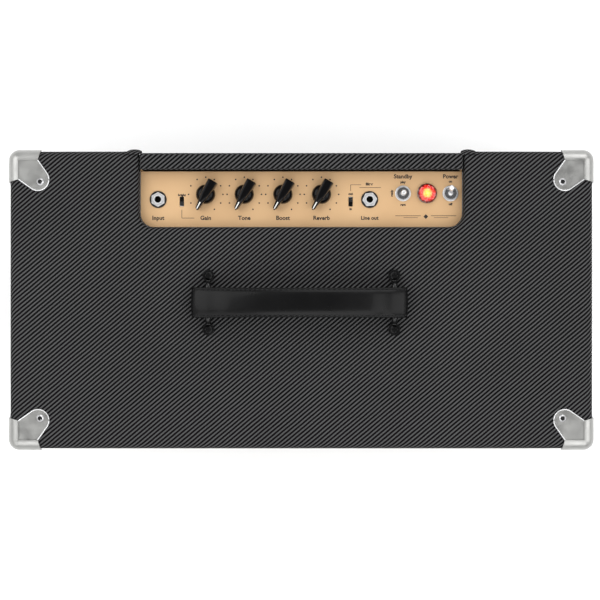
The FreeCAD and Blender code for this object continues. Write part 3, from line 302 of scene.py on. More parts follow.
def glow(name, centre, reach):
    """Lit red glass: a warm bright middle, a red ring and a dark rim of painted shade, broken into small
    facets.
    """
    m = Mat(name, Roughness=0.1, Coat_Weight=0.8, Coat_Roughness=0.04)
    flatten, distance = {"operation": "MULTIPLY"}, {"operation": "DISTANCE"}
    spot = m.node("VectorMath", props=flatten, _0=m.node("TexCoord", out=3), _1=(1, 1, 0))
    away = m.node("VectorMath", out=1, props=distance, _0=spot, _1=(centre.x, centre.y, 0))
    facets = m.node("TexVoronoi", out=0, Vector=m.place((1 / (2.6 * MM),) * 3), Scale=1.0)
    grey = m.node("RGBToBW", _0=facets)
    near = m.math("SUBTRACT", 1.0, m.math("DIVIDE", away, reach))
    near = m.plus(near, m.spread(grey, -0.09, 0.09))
    # The lowest stops paint the dark rim at the jewel's edge as painted shade; the rest is the bulb's glow.
    tone = m.ramp(near, [
        (0.0, (0.03, 0.001, 0.001)), (0.10, (0.10, 0.002, 0.001)), (0.20, (0.62, 0.012, 0.006)),
        (0.46, (0.80, 0.02, 0.008)), (0.56, (1.0, 0.24, 0.02)), (0.80, (1.0, 0.58, 0.08)),
        (1.0, (1.0, 0.72, 0.22)),
    ])
    m.set("Base Color", m.mix(0.5, tone, (0.2, 0.004, 0.002)))
    m.set("Emission Color", tone)
    m.set("Emission Strength", m.spread(near, 0.35, 1.0))
    return m.material


BLACK = (0.003, 0.003, 0.0033)
TWEED = tweed()
CHROME = metal("chrome", (0.36, 0.36, 0.35), 0.36, wavy=0.6 * MM)
DARK_STEEL = metal("dark_steel", (0.30, 0.30, 0.31), 0.16)
NICKEL = metal("satin_nickel", (0.72, 0.72, 0.73), 0.2, bare=0.5)
STEEL = metal("nickelled_steel", (0.60, 0.60, 0.61), 0.3)
SHEET = metal("zinc_sheet", (0.56, 0.57, 0.58), 0.42, "x")
SHAFT = metal("turned_shaft", (0.62, 0.62, 0.62), 0.25, "z")
GOLD = gold()
LEATHER = leather("strap_leather", (0.0045, 0.0045, 0.0048))
BLACK_METAL = enamel("black_enamel", BLACK, 0.12, 0.0, 1.2 * MM, 0.01 * MM, 0.35)
KNOB = enamel("polished_knob", (0.0022, 0.0022, 0.0025), 0.14, 0.0, 2 * MM, 0.004 * MM, 0.12)
PHENOLIC = enamel("black_phenolic", (0.005, 0.005, 0.0055), 0.35)
BROWN = enamel("brown_phenolic", (0.11, 0.06, 0.03), 0.4)
WHITE = enamel("white_plastic", (0.72, 0.71, 0.68), 0.35)
RUBBER = enamel("foot_rubber", (0.018, 0.018, 0.018), 0.72, 0.0, 0.6 * MM, 0.08 * MM)
IRON = enamel("transformer_enamel", (0.016, 0.016, 0.018), 0.35, 0.0, 1 * MM, 0.06 * MM)
TRAY = enamel("tray_paint", (0.10, 0.10, 0.11), 0.45, 0.0, 1 * MM, 0.04 * MM)
BOARD = enamel("component_board", (0.19, 0.13, 0.05), 0.55)
BLUE = enamel("capacitor_sleeve", (0.02, 0.04, 0.12), 0.32)
INK = enamel("panel_ink", (0.010, 0.004, 0.002), 0.6, 0.0, 0.3 * MM, 0.01 * MM)
PIPING = enamel("cream_piping", (0.52, 0.46, 0.33), 0.5, 0.0, 0.8 * MM, 0.05 * MM)
GRILLE = cloth_weave("grille_weave", (0.20, 0.165, 0.11), (0.02, 0.018, 0.015), 1.1 * MM)
GLASS = glass("valve_glass", (0.93, 0.95, 0.94))
PINE = {axis: wood("pine_" + axis, axis) for axis in "xyz"}
SLOTS = {
    "pine": PINE["x"], "tweed": TWEED, "grille_cloth": GRILLE, "piping": PIPING, "chrome": CHROME,
    "screw_steel": STEEL, "leather": LEATHER, "black_metal": BLACK_METAL, "rubber": RUBBER,
    "gold_plate": GOLD, "chassis_steel": SHEET, "knob_black": KNOB, "shaft_steel": SHAFT,
    "component": STEEL, "slider_white": WHITE, "switch_black": PHENOLIC, "valve_glass": GLASS,
    "socket": BROWN, "transformer": IRON, "board": BOARD, "capacitor": BLUE, "tray_steel": TRAY,
    "spring_steel": STEEL,
}


LOOKS = {
    "bushing_nuts": NICKEL, "toggle_nuts": NICKEL, "standby_lever": NICKEL, "power_lever": NICKEL,
    "bright_slider": PHENOLIC, "filter_slider": PHENOLIC,
    "side_board_left": PINE["z"], "side_board_right": PINE["z"], "cabinet_cleats": PINE["z"],
}


def paint_cad():
    """Every CAD node takes its own look, or else the material of its record slot."""
    for part in frame["record"]["subparts"]:
        node, slot = part["node"], part["material_slot"]
        chosen = LOOKS.get(node, SLOTS.get(slot, PHENOLIC))
        materials = NODES[node].data.materials
        materials.clear()
        materials.append(chosen)


# ------------------------------------------------------------------ mesh helpers

def linked(name, data):
    """A new object in the scene."""
    made = bpy.data.objects.new(name, data)
    bpy.context.scene.collection.objects.link(made)
    return made


def map_cloth(mesh, places):
    """Gives every face corner the cloth place of its vertex."""
    layer = mesh.uv_layers.new(name="cloth")
    for corner, data in zip(mesh.loops, layer.data):
        data.uv = places[corner.vertex_index]


def piece(name, verts, faces, material, body="cabinet", slot=None, smooth=40, uv=None):
    """A mesh in the shared frame that rides on a body. uv gives the cloth place of a vertex."""
    mesh = bpy.data.meshes.new(name)
    mesh.from_pydata([tuple(v) for v in verts], [], [tuple(f) for f in faces])
    if uv:
        layer = mesh.uv_layers.new(name="cloth")
        for face in mesh.polygons:
            for loop in face.loop_indices:
                layer.data[loop].uv = uv(face, mesh.loops[loop].vertex_index)
    mesh.materials.append(material)
    made = linked(name, mesh)
    tidy(made, smooth)
    if body:
        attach(made, body)
    return made


def tidy(made, smooth):
    """Welds, turns the normals out and smooths a mesh below an edge angle in degrees."""
    work = bmesh.new()
    work.from_mesh(made.data)
    bmesh.ops.remove_doubles(work, verts=work.verts, dist=1e-6)
    bmesh.ops.recalc_face_normals(work, faces=work.faces)
    for face in work.faces:
        face.smooth = smooth > 0
    for edge in work.edges:
        if len(edge.link_faces) == 2 and edge.calc_face_angle(0) > math.radians(smooth):
            edge.smooth = False
    work.to_mesh(made.data)
    work.free()


def lathe(profile, centre=(0, 0, 0), segments=40, turn=None):
    """Vertices and faces of a profile of (radius, height) points turned about Z."""
    verts, faces = [], []
    turn = turn or Matrix.Identity(3)
    for radius, height in profile:
        for i in range(segments):
            a = 2 * math.pi * i / segments
            spot = Vector((radius * math.cos(a), radius * math.sin(a), height))
            verts.append(Vector(centre) + turn @ spot)
    for row in range(len(profile) - 1):
        for i in range(segments):
            j = (i + 1) % segments
            a, b = row * segments, (row + 1) * segments
            faces.append((a + i, a + j, b + j, b + i))
    return verts, faces


def loft(rings, closed=True, caps=True):
    """Joins rings of the same number of points."""
    n = len(rings[0])
    verts = [v for ring in rings for v in ring]
    faces = []
    for row in range(len(rings) - 1):
        for i in range(n if closed else n - 1):
            j = (i + 1) % n
            faces.append((row * n + i, row * n + j, (row + 1) * n + j, (row + 1) * n + i))
    if caps:
        faces.append(tuple(range(n))[::-1])
        faces.append(tuple((len(rings) - 1) * n + i for i in range(n)))
    return verts, faces


def merged(*meshes):
    verts, faces = [], []
    for more_verts, more_faces in meshes:
        base = len(verts)
        verts += list(more_verts)
        faces += [tuple(base + i for i in f) for f in more_faces]
    return verts, faces


def smooth_path(points, steps):
    """Points along a Catmull-Rom curve through the given ones."""
    ends = [2 * points[0] - points[1], *points, 2 * points[-1] - points[-2]]
    made = []
    for i in range(1, len(ends) - 2):
        p0, p1, p2, p3 = ends[i - 1:i + 3]
        for k in range(steps):
            t = k / steps
            made.append(0.5 * (2 * p1 + (p2 - p0) * t + (2 * p0 - 5 * p1 + 4 * p2 - p3) * t ** 2
                               + (3 * p1 - p0 - 3 * p2 + p3) * t ** 3))
    return made + [points[-1]]


def tube(path, radius, segments=10):
    """A round tube along a path of points."""
    rings = []
    side = Vector((0, 1, 0)) if abs((path[1] - path[0]).normalized().y) < 0.9 else Vector((1, 0, 0))
    for i, point in enumerate(path):
        way = (path[min(i + 1, len(path) - 1)] - path[max(i - 1, 0)]).normalized()
        across = way.cross(side).normalized()
        up = across.cross(way).normalized()
        rings.append([
            point + (across * math.cos(a) + up * math.sin(a)) * radius
            for a in (2 * math.pi * k / segments for k in range(segments))
        ])
    return loft(rings)


def dress(node, width, second=None, inner=None, angle=30, segments=2):
    """Copies a hard CAD node's mesh with small rounded edges, and stands for it. Faces whose
    middle passes the test called inner take the second material."""
    source = NODES[node]
    mesh = source.data.copy()
    work = bmesh.new()
    work.from_mesh(mesh)
    bmesh.ops.remove_doubles(work, verts=work.verts, dist=2e-6)
    bmesh.ops.dissolve_limit(
        work, angle_limit=math.radians(1), verts=work.verts, edges=work.edges
    )
    sharp = [
        e for e in work.edges
        if len(e.link_faces) == 2 and e.calc_face_angle(0) > math.radians(angle)
    ]
    bmesh.ops.bevel(
        work, geom=sharp, offset=width, segments=segments, profile=0.5,
        affect="EDGES", clamp_overlap=True,
    )
    work.to_mesh(mesh)
    work.free()
    made = linked(node + "_look", mesh)
    mesh.materials.clear()
    mesh.materials.append(source.data.materials[0])
    if second:
        mesh.materials.append(second)
        for face in mesh.polygons:
            face.material_index = int(inner(face.center, face.normal))
    tidy(made, 50)
    weigh(made)
    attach(made, source["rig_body"])
    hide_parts(node)
    return made


def weigh(made):
    """Keeps big flat faces flat where they meet small rounded ones."""
    modifier = made.modifiers.new("weights", "WEIGHTED_NORMAL")
    modifier.keep_sharp = True
    modifier.weight = 60


# ------------------------------------------------------------------ covering

LOW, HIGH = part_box("cabinet_covering")
HALF_W, HALF_D = HIGH.x, HIGH.y
TOP, BOTTOM = HIGH.z, LOW.z
MID_Z = (TOP + BOTTOM) / 2
HALF_H = (TOP - BOTTOM) / 2
EDGE = 9 * MM
QUARTER = EDGE * math.pi / 2
WALL = 18.4 * MM
NOTCH_X, NOTCH_Y, NOTCH_R = 159.5 * MM, 71.2 * MM, 14 * MM
ROLL = 5 * MM


def section():
    """The covering's run from inside the front rim, over the outside, to inside the rear rim:
    (inset from the outer faces, y, cloth v)."""
    lip = 3 * MM
    front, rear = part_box("grille_piping")[0].y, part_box("upper_back_panel")[0].y
    inner = WALL - lip
    run = [(WALL, -HALF_D + lip + 1e-4)]
    for i in range(1, 7):
        a = math.pi / 2 * i / 6
        run.append((inner + lip * math.cos(a), -HALF_D + lip - lip * math.sin(a)))
    for i in range(9):
        a = math.pi / 2 * i / 8
        run.append((EDGE - EDGE * math.sin(a), -HALF_D + EDGE - EDGE * math.cos(a)))
    both = [(WALL, front + 1 * MM), *run] + [(i, -y) for i, y in run[::-1]] + [(WALL, rear)]
    middle = len(run) + 1
    v = [0.0] * len(both)
    v[middle - 1] = both[middle - 1][1]
    for k in range(middle - 2, -1, -1):
        v[k] = v[k + 1] - math.dist(both[k], both[k + 1])
    for k in range(middle, len(both)):
        v[k] = v[k - 1] + math.dist(both[k], both[k - 1])
    return [(inset, y, v[k]) for k, (inset, y) in enumerate(both)]


def perimeter(inset):
    """One loop round the cabinet from the seam under it: (x, z, cloth u)."""
    far_x, far_z = HALF_W - max(EDGE, inset), HALF_H - max(EDGE, inset)
    radius = max(EDGE - inset, 0.02 * MM)
    top_u = HALF_W - EDGE
    side_u = top_u + QUARTER
    low_u = side_u + 2 * (HALF_H - EDGE)
    seam_u = low_u + QUARTER + top_u
    out_x, out_z = far_x + radius, far_z + radius
    right = []
    steps = 8
    for i in range(13):
        x = far_x * i / 12
        right.append((x, out_z, x))
    right += [
        (far_x + radius * math.sin(a), far_z + radius * math.cos(a),
         right[12][2] + (side_u - right[12][2]) * i / steps)
        for i, a in ((i, math.pi / 2 * i / steps) for i in range(1, steps))
    ]
    for i in range(9):
        z = far_z - 2 * far_z * i / 8
        right.append((out_x, z, side_u + HALF_H - EDGE - z))
    start = right[-1][2]
    low_start = low_u + QUARTER + (top_u - far_x)
    right += [
        (far_x + radius * math.cos(a), -far_z - radius * math.sin(a),
         start + (low_start - start) * i / steps)
        for i, a in ((i, math.pi / 2 * i / steps) for i in range(1, steps))
    ]
    for i in range(9):
        x = far_x * (1 - i / 8)
        right.append((x, -out_z, seam_u - x))
    left = [(-x, z, -u) for x, z, u in right[:0:-1]]
    return left + right


def notch_ring(z):
    """The notch's outline at one height, with the cloth's place for each point."""
    depth = TOP - z
    if z >= TOP:
        grow, slid = ROLL, 0.0
    elif depth < ROLL:
        lift = ROLL - depth
        grow = ROLL - math.sqrt(max(ROLL ** 2 - lift ** 2, 0.0))
        slid = ROLL * math.acos(min(lift / ROLL, 1.0))
    else:
        grow, slid = 0.0, ROLL * math.pi / 2 + depth - ROLL
    ring = []
    flare = ROLL - grow

    def add(x, y, way_x, way_y):
        start = (x - way_x * (ROLL - grow), y - way_y * (ROLL - grow))
        ring.append(((x, y, z), (start[0] + way_x * slid, start[1] + way_y * slid)))

    add(-NOTCH_X - ROLL, HALF_D + 14 * MM, 1, 0)
    for i in range(7):
        a = math.pi / 2 * (1 - i / 6)
        add(-NOTCH_X - ROLL + flare * math.cos(a), HALF_D - ROLL + flare * math.sin(a), 1, 0)
    arcs = 12
    for i in range(arcs + 1):
        a = math.pi / 2 * i / arcs
        x = -NOTCH_X + NOTCH_R - (NOTCH_R + grow) * math.cos(a)
        y = NOTCH_Y + NOTCH_R - (NOTCH_R + grow) * math.sin(a)
        add(x, y, math.cos(a), math.sin(a))
    return ring + [((-p[0], p[1], p[2]), (-q[0], q[1])) for p, q in ring[::-1]]


def mesh_with_uv(name, loops):
    """A closed tube of rings of (point, uv), as a mesh with a cloth map and capped ends."""
    n = len(loops[0])
    mesh = bpy.data.meshes.new(name)
    verts = [p for loop in loops for p, _ in loop]
    places = [q for loop in loops for _, q in loop]
    _, faces = loft([[0] * n] * len(loops))
    mesh.from_pydata(verts, [], faces)
    map_cloth(mesh, places)
    return linked(name, mesh)


def covering():
    """The woven covering, wrapped over all rims and rolled down into the notch."""
    runs = section()
    rings = [
        [((x, y, MID_Z + z), (u, v)) for x, z, u in perimeter(inset)] for inset, y, v in runs
    ]
    n, rows = len(rings[0]), len(rings)
    mesh = bpy.data.meshes.new("covering")
    verts = [p for ring in rings for p, _ in ring]
    places = [q for ring in rings for _, q in ring]
    faces = []
    for row in range(rows):
        after = (row + 1) % rows
        for i in range(n - 1):
            faces.append((row * n + i, after * n + i, after * n + i + 1, row * n + i + 1))
    mesh.from_pydata(verts, [], faces)
    map_cloth(mesh, places)
    mesh.materials.append(TWEED)
    mesh.materials.append(PINE["x"])
    for face in mesh.polygons:
        if face.index >= (rows - 1) * (n - 1):
            face.material_index = 1
    made = linked("covering", mesh)
    work = bmesh.new()
    work.from_mesh(mesh)
    bmesh.ops.remove_doubles(work, verts=work.verts, dist=1e-6)
    bmesh.ops.recalc_face_normals(work, faces=work.faces)
    work.to_mesh(mesh)
    work.free()

    roll_steps = 7
    heights = [TOP - 21 * MM, TOP - 12 * MM]
    heights += [TOP - ROLL + ROLL * math.sin(math.pi / 2 * i / roll_steps) for i in range(roll_steps)]
    heights += [TOP + 0.01 * MM, TOP + 8 * MM]
    cutter = mesh_with_uv("notch_cutter", [notch_ring(z) for z in heights])
    cutter.data.materials.append(TWEED)
    tidy(cutter, 40)
    modifier = made.modifiers.new("notch", "BOOLEAN")
    modifier.operation = "DIFFERENCE"
    modifier.solver = "EXACT"
    modifier.object = cutter
    bpy.context.view_layer.update()
    cut = bpy.data.meshes.new_from_object(
        made.evaluated_get(bpy.context.evaluated_depsgraph_get())
    )
    made.modifiers.clear()
    made.data = cut
    bpy.data.objects.remove(cutter)
    work = bmesh.new()
    work.from_mesh(cut)
    inside = [f for f in work.faces if f.material_index == 1]
    bmesh.ops.delete(work, geom=inside, context="FACES")
    bmesh.ops.triangulate(work, faces=[f for f in work.faces if len(f.verts) > 4])
    work.to_mesh(cut)
    work.free()
    tidy(made, 50)
    weigh(made)
    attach(made, "cabinet")
    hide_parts("cabinet_covering")


def folded_corners():
    """The cloth gathered and tucked over the rear rim at both ends of the notch."""
    for side in (-1, 1):
        rings = []
        for i in range(13):
            t = i / 12
            x = side * (NOTCH_X - 2.2 * MM + t * 17 * MM)
            swell = math.sin(math.pi * min(t * 1.15 + 0.06, 1)) ** 0.6
            deep = (1.2 + 2.2 * swell) * MM
            ring = []
            for k in range(17):
                a = math.pi * k / 16
                z = TOP - 9.5 * MM + 8.6 * MM * math.cos(a)
                y = HALF_D - 1.2 * MM + deep * math.sin(a) ** 0.7 - max(0, z - TOP + 4 * MM) * 0.6
                ring.append(Vector((x, y, z)))
            rings.append(ring)
        verts, faces = loft(rings)

        def place(face, index, spots=verts):
            return spots[index].x, TOP - spots[index].z + spots[index].y

        piece(f"folded_cloth_{'left' if side < 0 else 'right'}", verts, faces, TWEED,
              slot="tweed", uv=place)


def panel_cloth():
    """Covering of both back panels: rounded edges, cloth running from the rear face over them."""
    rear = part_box("back_panel_coverings")[1].y
    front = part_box("back_panel_coverings")[0].y
    up_low, up_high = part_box("upper_back_panel")
    down_low, down_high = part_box("lower_back_panel")
    skin = 1 * MM
    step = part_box("cabinet_cleats")[1].z - 0.8 * MM
    tongue = NOTCH_X - 0.8 * MM
    wide, high = up_high.x + skin, up_high.z + skin
    upper = [(-wide, up_low.z - skin), (wide, up_low.z - skin), (wide, step), (tongue, step),
             (tongue, high), (-tongue, high), (-tongue, step), (-wide, step)]
    lower = [(-wide, down_low.z - skin), (wide, down_low.z - skin),
             (wide, down_high.z + skin), (-wide, down_high.z + skin)]
    verts, faces = [], []
    for outline in (upper, lower):
        base = len(verts)
        n = len(outline)
        verts += [Vector((x, rear, z)) for x, z in outline]
        verts += [Vector((x, front, z)) for x, z in outline]
        faces.append(tuple(base + i for i in range(n))[::-1])
        faces += [(base + i, base + (i + 1) % n, base + n + (i + 1) % n, base + n + i) for i in range(n)]
    made = piece("panel_cloth", verts, faces, TWEED, slot="tweed")
    work = bmesh.new()
    work.from_mesh(made.data)
    rim = [e for e in work.edges if all(v.co.y > rear - 1e-5 for v in e.verts)]
    ends = [e for e in work.edges if abs(e.verts[0].co.y - e.verts[1].co.y) > 1e-3]
    bmesh.ops.bevel(work, geom=rim + ends, offset=2.6 * MM, segments=5, profile=0.5, affect="EDGES")
    top_edge = [
        e for e in work.edges
        if all(v.co.y < front + 1e-5 and v.co.z > step + 5 * MM for v in e.verts)
        and abs(e.verts[0].co.x - e.verts[1].co.x) > 0.1
    ]
    lip = bmesh.ops.extrude_edge_only(work, edges=top_edge)["geom"]
    for v in [g for g in lip if isinstance(g, bmesh.types.BMVert)]:
        v.co.z -= 17.5 * MM
    bmesh.ops.bevel(work, geom=top_edge, offset=2.2 * MM, segments=5, profile=0.5, affect="EDGES")
    layer = work.loops.layers.uv.new("cloth")
    for face in work.faces:
        flat = max(range(3), key=lambda axis: abs(face.normal[axis]))
        for corner in face.loops:
            p = corner.vert.co
            if flat == 1 and face.normal.y > 0:
                spot = (p.x, rear + (high - p.z))
            elif flat == 1:
                spot = (p.x, front - (high - p.z))
            elif flat == 2:
                spot = (p.x, p.y if p.z > MID_Z else -p.y)
            else:
                spot = (p.x + (high - p.z) * (1 if face.normal.x > 0 else -1), p.y)
            corner[layer].uv = spot
    work.to_mesh(made.data)
    work.free()
    tidy(made, 50)
    weigh(made)
    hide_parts("back_panel_coverings")


# ------------------------------------------------------------------ handle

def strap():
    """Leather strap: padded, with a bead along each edge and ends that loop round the rods, where
    the leaf under each rod is thin."""
    low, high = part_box("handle_strap")
    middle_x, middle_y = (low.x + high.x) / 2, (low.y + high.y) / 2
    crown = high.z - TOP
    half = [
        (80, 1.6), (92, 1.6), (100.3, 2.7), (103.9, 8.4), (100.8, 12.8), (92, 16.0), (82, 18.2),
        (66, 22.1), (36, 26.4),
    ]
    path = [Vector((-x * MM, 0, z * MM)) for x, z in half]
    path += [Vector((0, 0, crown - 2.9 * MM))]
    path += [Vector((x * MM, 0, z * MM)) for x, z in half[::-1]]
    line = smooth_path(path, 7)
    half_w, thick, leaf = (high.y - low.y) / 2, 2.6 * MM, 1.0 * MM
    profile = [
        (1.00, 0.0), (0.995, 0.45), (0.965, 0.78), (0.925, 0.86), (0.885, 0.70), (0.845, 0.52),
        (0.80, 0.66), (0.70, 0.86), (0.45, 1.05), (0.2, 1.1), (0.0, 1.12),
    ]
    upper = profile + [(-s, h) for s, h in profile[-2::-1]]
    under = [(-0.96, -0.75), (-0.9, -0.95), (-0.4, -1.0), (0.4, -1.0), (0.9, -0.95), (0.96, -0.75)]
    rings = []
    for i, point in enumerate(line):
        way = (line[min(i + 1, len(line) - 1)] - line[max(i - 1, 0)]).normalized()
        out = Vector((-way.z, 0, way.x))
        waist = half_w * (0.965 + 0.035 * min(1, abs(point.x) / (95 * MM)) ** 2)
        deep = leaf + (thick - leaf) * min(1, max(0, point.z / (18 * MM)))
        ring = []
        for s, h in upper + under:
            ring.append(Vector((middle_x, middle_y + s * waist, TOP)) + point + out * (h * deep))
        rings.append(ring)
    verts, faces = loft(rings)
    made = piece("leather_strap", verts, faces, LEATHER, "strap", "leather", smooth=60)
    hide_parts("handle_strap")

    seam = []
    gap, length = 3.4 * MM, 2.3 * MM
    sunk, raised = -0.3 * MM, 0.1 * MM
    for side in (-1, 1):
        travelled = 0.0
        for a, b in zip(line[14:-15], line[15:-14]):
            travelled += (b - a).length
            if travelled < gap:
                continue
            travelled = 0.0
            way = (b - a).normalized()
            out = Vector((-way.z, 0, way.x))
            spot = Vector((middle_x, middle_y + side * half_w * 0.83, TOP)) + a + out * (thick * 0.60)
            stitch = [
                spot + way * length * along + out * lift
                for along, lift in ((-0.5, sunk), (-0.25, raised), (0.25, raised), (0.5, sunk))
            ]
            seam.append(tube(stitch, 0.33 * MM, 6))
    verts, faces = merged(*seam)
    piece("strap_stitches", verts, faces, leather("waxed_thread", (0.03, 0.03, 0.032), 0.3 * MM),
          "strap", "leather", smooth=60)


# ------------------------------------------------------------------ control panel

DIALS = ("gain", "tone", "boost", "reverb")
KNOB_TURN = math.radians(-30)
DIAL_R = 17.0 * MM
INPUT_X, BRIGHT_X, FILTER_X, LINE_X = -141.4, -118.0, 48.7, 67.5
STANDBY_X, ORNAMENT_X, POWER_X = 100.4, 123, 147.3
LABEL_Y, SWITCH_LABEL_Y = 80.9, 121.9


def knob_centre(name):
    low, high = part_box(name + "_pot_shaft")
    return Vector(((low.x + high.x) / 2, (low.y + high.y) / 2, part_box(name + "_knob")[0].z))


def knob(name):
    """Pointer knob: domed body, a blunt tail and a tapered pointer with a white inlay."""
    centre = knob_centre(name)
    body = name + "_control"
    dome = [
        (8.2, 0.2), (9.0, 0), (9.6, 0.5), (9.7, 1.2), (9.55, 4.4), (9.1, 6.6), (8.0, 8.7),
        (6.2, 10.2), (3.6, 11.1), (0.01, 11.4),
    ]
    base = lathe(dome, segments=56)
    stations = [
        (15.0, 5.1, 12.4), (14.8, 5.3, 13.6), (14.2, 5.35, 14.9), (12, 5.35, 15.3), (8, 5.3, 15.4),
        (3, 5.15, 15.4), (-2, 4.7, 15.3), (-6, 3.8, 14.9), (-9.5, 2.9, 14.0), (-13, 2.3, 12.6),
        (-15.7, 2.0, 11.3), (-16.6, 1.8, 10.4), (-16.9, 1.3, 9.4),
    ]
    shoulder = [(0.5, 0.995), (0.8, 0.965), (0.93, 0.86), (0.98, 0.5), (1, 0)]
    arch = [(-s, h) for s, h in shoulder[::-1]] + [(0, 1)] + shoulder
    foot, draft = 1.2, 0.07
    rings = []
    for y, half, high in stations:
        rings.append([
            Vector((s * half * (1 - draft * h), y, foot + (high - foot) * h)) for s, h in arch
        ])
    bar = loft(rings)
    turn = Matrix.Rotation(KNOB_TURN, 3, "Z")
    verts, faces = merged(base, bar)
    verts = [centre + (turn @ Vector(v)) * MM for v in verts]
    made = piece(name + "_knob_look", verts, faces, KNOB, body, "knob_black", smooth=48)
    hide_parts(name + "_knob")
    inlay, inlay_start, inlay_half = [], -7, 0.5
    for y, _, high in stations:
        if y > inlay_start:
            continue
        line = [Vector((s * inlay_half, y, high + 0.07)) for s in (-1, 1)]
        low = [Vector((s * inlay_half, y, high - 0.5)) for s in (1, -1)]
        inlay.append(line + low)
    verts, faces = loft(inlay)
    verts = [centre + (turn @ v) * MM for v in verts]
    piece(name + "_pointer_line", verts, faces, WHITE, body, "slider_white")


def text_mesh(words, size, x, y, z, upright=0.0):
    """Flat letters as a mesh, centred on a point of the panel."""
    curve = bpy.data.curves.new("words", "FONT")
    curve.body = words
    curve.size = size
    curve.align_x, curve.align_y = "CENTER", "CENTER"
    curve.extrude = 0.02 * MM
    curve.offset = 0.19 * MM
    curve.resolution_u = 3
    curve.space_character = 1.02
    made = linked("words", curve)
    bpy.context.view_layer.update()
    mesh = bpy.data.meshes.new_from_object(
        made.evaluated_get(bpy.context.evaluated_depsgraph_get())
    )
    turn = Matrix.Rotation(upright, 3, "Z")
    verts = [Vector((x, y, z)) + turn @ v.co for v in mesh.vertices]
    faces = [tuple(f.vertices) for f in mesh.polygons]
    bpy.data.objects.remove(made)
    return verts, faces


def stroke(x0, y0, x1, y1, z, wide):
    a, b = Vector((x0, y0, z)), Vector((x1, y1, z))
    side = (b - a).normalized().cross(Vector((0, 0, 1))) * wide / 2
    lift = Vector((0, 0, 0.03 * MM))
    low = [a + side, a - side, b - side, b + side]
    verts = low + [v + lift for v in low]
    return verts, [(0, 1, 2, 3), (4, 7, 6, 5), (0, 4, 5, 1), (1, 5, 6, 2), (2, 6, 7, 3), (3, 7, 4, 0)]


def printing():
    """Plain words, dial dots and thin lines on the faceplate, and a small plain ornament."""
    face_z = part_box("faceplate")[1].z
    z = face_z + 0.02 * MM
    marks = []
    label, small = 5.6 * MM, 3.1 * MM
    film = 0.03 * MM
    words = []
    for name in DIALS:
        centre = knob_centre(name)
        words.append((name.capitalize(), label, centre.x / MM, LABEL_Y))
        for i in range(11):
            a = math.radians(-150 + 30 * i)
            x = centre.x + DIAL_R * math.sin(a)
            y = centre.y + DIAL_R * math.cos(a)
            dot = [(0.001 * MM, film), (0.76 * MM, film), (0.80 * MM, 0.0)]
            marks.append(lathe(dot, (x, y, z), 12))
    words += [
        ("Input", label, INPUT_X, LABEL_Y), ("Line out", label * 0.9, LINE_X, LABEL_Y),
        ("Standby", label, STANDBY_X, SWITCH_LABEL_Y), ("Power", label, POWER_X, SWITCH_LABEL_Y),
        ("play", small, STANDBY_X, 116.4), ("rest", small, STANDBY_X, 94.0),
        ("on", small, POWER_X, 117.0), ("off", small, POWER_X, 94.6),
        ("bright", small, BRIGHT_X, 103.6), ("out", small, FILTER_X, 104.8),
        ("in", small, FILTER_X, 89.9), ("filter", small * 1.15, 67.2, 114.4),
    ]
    for text, size, x, y in words:
        marks.append(text_mesh(text, size, x * MM, y * MM, z))
    marks.append(text_mesh("ready", small * 0.9, 89.4 * MM, 105.3 * MM, z, math.pi / 2))
    lines = [
        (BRIGHT_X, 89.2, BRIGHT_X, LABEL_Y), (BRIGHT_X, LABEL_Y, -105.8, LABEL_Y),
        (FILTER_X, 107.6, FILTER_X, 113.8), (FILTER_X, 113.8, 59.0, 113.8), (57.4, 111.0, 78.5, 111.0),
    ]
    for x0, y0, x1, y1 in lines:
        marks.append(stroke(x0 * MM, y0 * MM, x1 * MM, y1 * MM, z, 0.45 * MM))
    for side in (-1, 1):
        for near, far, y, wide in ((5, 30, 83.2, 0.5), (8, 22, 81.4, 0.35)):
            x0, x1 = ((ORNAMENT_X + side * reach) * MM for reach in (near, far))
            marks.append(stroke(x0, y * MM, x1, y * MM, z, wide * MM))
    diamond = [(0.001 * MM, film), (2.3 * MM, film), (2.35 * MM, 0)]
    marks.append(lathe(diamond, (ORNAMENT_X * MM, 82.4 * MM, z), 4))
    verts, faces = merged(*marks)
    piece("panel_print", verts, faces, INK, "cabinet", "switch_black", smooth=0)


def jewel():
    """Red glass jewel with a faceted crown, lit from below."""
    low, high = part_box("pilot_jewel")
    centre = Vector(((low.x + high.x) / 2, (low.y + high.y) / 2, low.z))
    tall = high.z - low.z
    glass_red = glow("lit_jewel", centre, 9.3 * MM)
    round_rows = [(6.2, 0.0), (6.2, 4.9), (9.1, 5.1), (9.3, 6.9)]
    cut_rows = [(8.4, 8.4), (6.6, 9.6), (5.0, 10.5), (4.6, 10.4), (2.6, 11.2), (1.0, 11.35)]
    rows = [(radius, z, 1.0, 0) for radius, z in round_rows]
    rows += [(radius, z, 0.955, 1 - k % 2) for k, (radius, z) in enumerate(cut_rows)]
    count = 24
    verts, faces = [], []
    for radius, z, pull, shift in rows:
        for i in range(count):
            a = 2 * math.pi * (i + shift) / count
            out = radius * MM * (pull if i % 2 else 1.0)
            verts.append(centre + Vector((out * math.cos(a), out * math.sin(a), min(z * MM, tall))))
    for row in range(len(rows) - 1):
        s, e = row * count, (row + 1) * count
        for i in range(count):
            j = (i + 1) % count
            faces += [(s + i, s + j, e + i), (s + j, e + j, e + i)]
    faces.append(tuple((len(rows) - 1) * count + i for i in range(count)))
    made = piece("faceted_jewel", verts, faces, glass_red, "cabinet", "jewel", smooth=0)
    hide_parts("pilot_jewel")


def bushing_face(spot, normal):
    """True on a jack's bushing above the panel, outside its bore. The bore's walls keep the node's base
    material instead of nickel, as painted shade down the hole.
    """
    low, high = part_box("panel_jacks")
    side = low.x if spot.x < 0 else high.x
    axis = Vector((side - math.copysign(8 * MM, spot.x), (low.y + high.y) / 2))
    out = Vector((spot.x, spot.y)) - axis
    bore = out.length < 3.9 * MM and abs(normal.z) < 0.5 and out.dot(Vector((normal.x, normal.y))) < 0
    return spot.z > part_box("faceplate")[0].z and not bore


